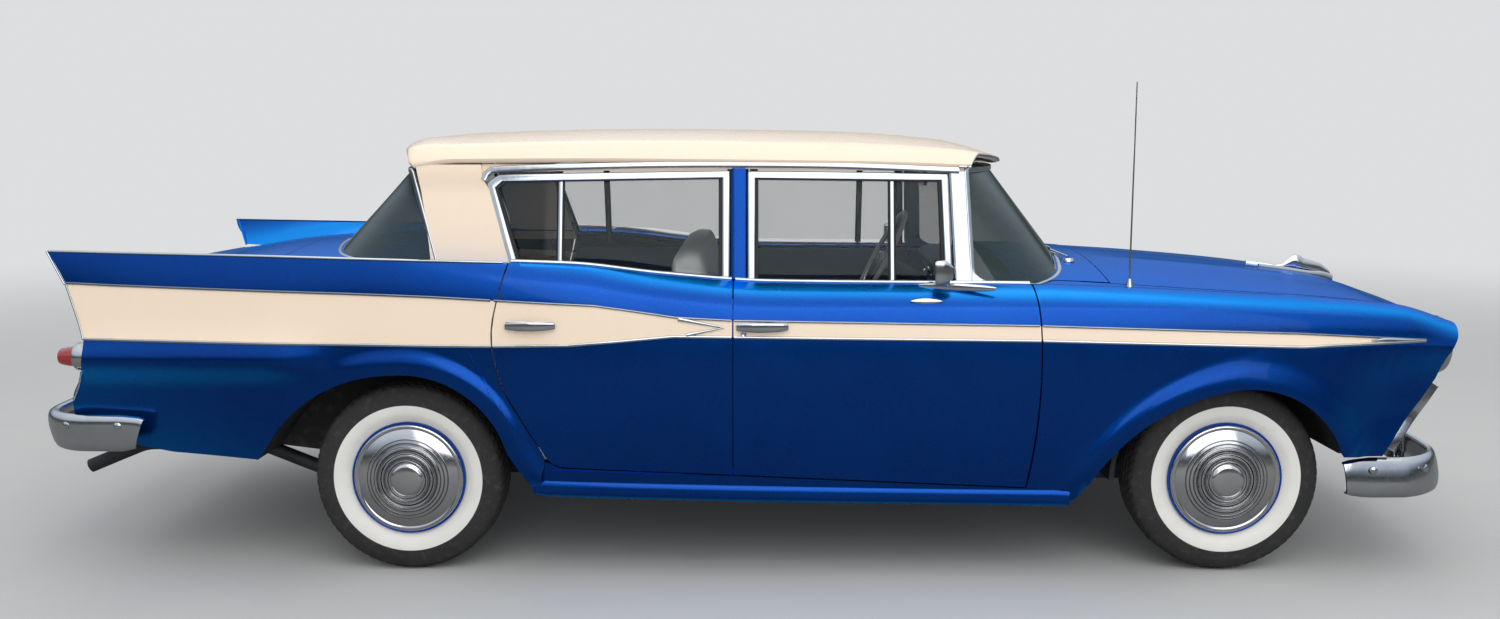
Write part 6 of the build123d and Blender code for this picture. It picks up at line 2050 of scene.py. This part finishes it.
@dataclass
class Cabin:
    """The dashboard, the steering wheel and the small things in the cabin."""

    wheel_centre: tuple = (540, 360, 955)
    wheel_radius: float = 212
    slope: float = 28
    half: float = 640

    def dash(self) -> Shape:
        """The dashboard: a padded brow over a set-back face, bowed a little across the car."""
        outline = spread([(1005, 962), (880, 985), (775, 990), (728, 974), (722, 950), (742, 930), (738, 880),
                          (752, 815), (790, 766), (900, 756), (1005, 758)], 60, curved=True)
        y = np.linspace(-self.half, self.half, 61)
        bow = 10 * (y / self.half) ** 2
        return capped(dots(outline[None, :, 0] + bow[:, None], y[:, None], outline[None, :, 1]))

    def dials(self) -> Shape:
        """Bright rings and bars on the dashboard's face."""
        face = (-1, 0, 0.1)
        y = np.linspace(-600, 600, 30)
        parts = [carried(dots(741 + 8 * (y / 640) ** 2, y, 905.0), moulding(14, 5), face)]
        for y, r in ((360, 58), (250, 36), (470, 36), (40, 26), (-40, 26)):
            dial = [(0, r), (8, r + 2), (13, r - 2), (8, r - 7), (4, 0), (0, 0)]
            parts.append(spun(dial, (746, y, 862), face, 40, closed=True))
        for y in (-120.0, 120.0, 560.0):
            parts.append(spun([(0, 0), (0, 11), (14, 13), (18, 9), (19, 0)], (748, y, 850), face, 24, closed=True))
        return sum(parts)

    @property
    def axis(self) -> Array:
        """The steering column's way, up towards the driver."""
        a = math.radians(self.slope)
        return np.array([-math.cos(a), 0, math.sin(a)])

    def steering(self) -> dict[str, tuple[Shape, Finish]]:
        """The steering wheel's rim and spokes, its horn ring and boss."""
        axis, centre = self.axis, real(self.wheel_centre)
        up = np.cross(axis, (0, 1, 0))
        turn = np.linspace(0, math.tau, 97)[:-1, None]
        circle = np.cos(turn) * np.array([0.0, 1, 0]) + np.sin(turn) * up
        grip = rounded(23, 20, 9.5, steps=5, base=-11.5)
        ring = carried(centre + self.wheel_radius * circle, grip, circle, closed=True)
        horn = carried(centre + axis * 6 + 128 * circle, rounded(8, 8, 3.8, base=-4), circle, closed=True)
        t = evenly(14)[:, None]
        arms = []
        for side in (-1, 1):
            reach = np.array([0.0, side, 0]) * lerp(26, self.wheel_radius - 6, t)
            path = centre - axis * 4 * (1 - t) + reach - up * 10 * np.sin(np.pi * t)
            arms.append(carried(path, rounded(26, 9, 4, base=-13), up, scale=lerp(1.2, 0.75, t) * (1, 1)))
        boss = spun([(-46, 0), (-46, 28), (-8, 32), (4, 30), (10, 22), (12, 0)], centre, axis, 48)
        button = spun([(10, 24), (14, 20), (16, 0), (9, 0)], centre, axis, 48, closed=True)
        return {"rim": (ring + sum(arms) + boss, Finish.WHEEL_PLASTIC), "horn_ring": (horn + button, Finish.CHROME)}

    def build(self) -> None:
        """Builds the cabin's pieces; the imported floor, column and engine bay keep their shapes."""
        piece("dashboard_top", self.dash(), Finish.TRIM, "dashboard", angle=50)
        piece("dashboard_dials", self.dials(), Finish.CHROME)
        axis, centre = self.axis, real(self.wheel_centre)
        column = tube(lerp(centre - axis * 330, centre - axis * 50, evenly(8)[:, None]), 25, 32)
        piece("steering_column", column, Finish.TRIM)
        for k, (word, (shape, finish)) in enumerate(self.steering().items()):
            nodes = ("steering_wheel",) if k == 0 else ()
            piece(f"steering_wheel_{word}", shape, finish, *nodes, body="steering_wheel")
        mirror = carried([(672, 0, 1300), (660, 0, 1300)], rounded(52, 190, 16, base=-26), (0, 0, 1))
        piece("inside_mirror", mirror, Finish.CHROME, bevel=2)
        Bench(
            "front_seat", 628, ((436, 424), (444, 530), (404, 584), (180, 586), (-44, 556), (-60, 424), (180, 416)),
            ((-80, 448), (-28, 590), (-92, 820), (-156, 1030), (-196, 1062), (-246, 1052), (-276, 1000),
             (-270, 700), (-246, 448)),
        ).build()
        Bench(
            "rear_seat", 590,
            ((-448, 420), (-432, 530), (-468, 578), (-680, 574), (-890, 552), (-905, 424), (-680, 414)),
            ((-928, 450), (-892, 590), (-970, 800), (-1040, 992), (-1066, 1000), (-1090, 985), (-1112, 800),
             (-1060, 620), (-1000, 560)),
        ).build()


# Scene

CARRIED_OVER = {
    "engine_bay": Finish.UNDERBODY, "floor_pan": Finish.CARPET, "engine": Finish.IRON, "exhaust": Finish.IRON,
    "fuel_tank": Finish.STEEL, "rear_axle": Finish.IRON, "front_suspension": Finish.IRON,
    "knuckle_right": Finish.IRON, "knuckle_left": Finish.IRON, "side_frames": Finish.BLUE, "antenna": Finish.CHROME,
    "front_door_glass_right": Finish.GLASS, "front_door_glass_left": Finish.GLASS,
    "rear_door_glass_right": Finish.GLASS, "rear_door_glass_left": Finish.GLASS,
}


@dataclass
class Studio:
    """The pale floor, the soft lights and the camera."""

    camera_place: tuple = (0.02, -5.1, 1.477)
    camera_turn: tuple = (math.radians(90 - 7.74), 0.0, math.radians(0.26))
    lens: float = 31.37
    backdrop: tuple = (0.72, 0.73, 0.74)
    sky: tuple = (
        (0.0, (0.20, 0.20, 0.20)), (0.495, (0.16, 0.17, 0.16)), (0.53, (0.05, 0.06, 0.06)),
        (0.565, (0.20, 0.23, 0.27)), (0.62, (0.48, 0.55, 0.64)), (0.68, (0.66, 0.74, 0.84)),
        (1.0, (1.1, 1.14, 1.18)),
    )

    def floor(self) -> None:
        """A wide floor that carries the shadow and fades into the pale backdrop, and shows dark in reflections as a
        painted dark reflection.
        """
        mesh = bpy.data.meshes.new("floor")
        mesh.from_pydata([(-60, -60, 0), (60, -60, 0), (60, 60, 0), (-60, 60, 0)], [], [(0, 1, 2, 3)])
        floor = bpy.data.objects.new("floor", mesh)
        bpy.context.scene.collection.objects.link(floor)
        s = Shader("studio_floor")
        cloud = s.noise(3.0, 4.0)
        # Painted reflection: glossy rays see the floor dark, so the lower body reflects a dark ground while the camera
        # sees a pale floor.
        seen = s.node("LightPath", {}, {}, "Is Glossy Ray")
        colour = s.mix(seen * 0.75, s.mix(cloud, (0.50, 0.50, 0.50), (0.54, 0.54, 0.53)), (0.10, 0.10, 0.10))
        distance = s.node("VectorMath", {"operation": "LENGTH"}, {0: s.coords}, "Value")
        shade = s.node("BsdfPrincipled", {}, {"Base Color": colour, "Roughness": 0.75 + cloud * 0.1})
        glow = s.node("Emission", {}, {"Color": s.mix(seen, self.backdrop, (0.14, 0.14, 0.14))})
        far = s.node("MixShader", {}, {0: distance.rise(5.0, 13.0), 1: shade, 2: glow})
        s.end(far)
        mesh.materials.append(s.material)

    def world(self) -> None:
        """A pale even backdrop to the camera, and to reflections a bright sky over a dark horizon."""
        world = bpy.data.worlds.new("studio")
        bpy.context.scene.world = world
        s = Shader("studio", world)
        height = s.node("SeparateXYZ", {}, {0: s.coords}, "Z")
        share = s.node("MapRange", {}, {0: height, 1: -1.0})
        sky = s.node("ValToRGB", {"stops": self.sky}, {0: share})
        seen = s.node("LightPath", {}, {}, "Is Glossy Ray")
        s.end(s.node("Background", {}, {0: s.mix(seen, self.backdrop, sky)}), "OutputWorld")

    def lights(self) -> None:
        """Three large soft lamps: overhead, from the camera's side and from the far side."""
        for name, place, aim, size, power in (
            ("overhead", (0.4, -1.2, 6.2), (0, 0, 0.6), 7.5, 130.0),
            ("near", (1.6, -8.0, 5.4), (0, 0, 0.7), 8.0, 310.0),
            ("far", (-2.5, 7.0, 7.6), (0, 0, 0.7), 6.0, 75.0),
        ):
            data = bpy.data.lights.new(name, "AREA")
            data.shape, data.size, data.energy = "SQUARE", size, power
            lamp = bpy.data.objects.new(name, data)
            lamp.location = place
            lamp.rotation_euler = (Vector(aim) - Vector(place)).to_track_quat("-Z", "Y").to_euler()
            bpy.context.scene.collection.objects.link(lamp)

    def camera(self) -> None:
        """The camera at the photograph's viewing angle."""
        data = bpy.data.cameras.new("camera")
        data.lens, data.sensor_width, data.clip_end = self.lens, 36.0, 200.0
        camera = bpy.data.objects.new("camera", data)
        camera.location, camera.rotation_euler = self.camera_place, self.camera_turn
        bpy.context.scene.collection.objects.link(camera)
        bpy.context.scene.camera = camera

    def build(self) -> None:
        """Sets the stage."""
        self.floor()
        self.world()
        self.lights()
        self.camera()
        bpy.context.scene.view_settings.view_transform = "Standard"


def main() -> None:
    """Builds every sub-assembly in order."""
    logging.basicConfig(level=logging.INFO, format="%(message)s")
    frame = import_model()
    for name, finish in CARRIED_OVER.items():
        slots = frame["nodes"][name].data.materials
        for index in range(max(len(slots), 1)):
            if len(slots):
                slots[index] = finish.material
            else:
                slots.append(finish.material)
    for side in Side:
        for door in (front_door(side), rear_door(side)):
            door.build()
        Mirror(side).build()
        Quarter(side).build()
        Fender(side).build()
        for end in ("front", "rear"):
            Wheel(end, side).build()
    MiddlePanels().build()
    Sills().build()
    Greenhouse().build()
    Bumper("front_bumper", 1, 2427, 2380, 655, 880, 1966, 270, 405, 470, 16).build()
    Bumper("rear_bumper", -1, 2427, 2398, 700, 880, 2000, 420, 548, 612, 46).build()
    Grille().build()
    Lamps().build()
    Cabin().build()
    Studio().build()


if __name__ == "__main__":
    main()
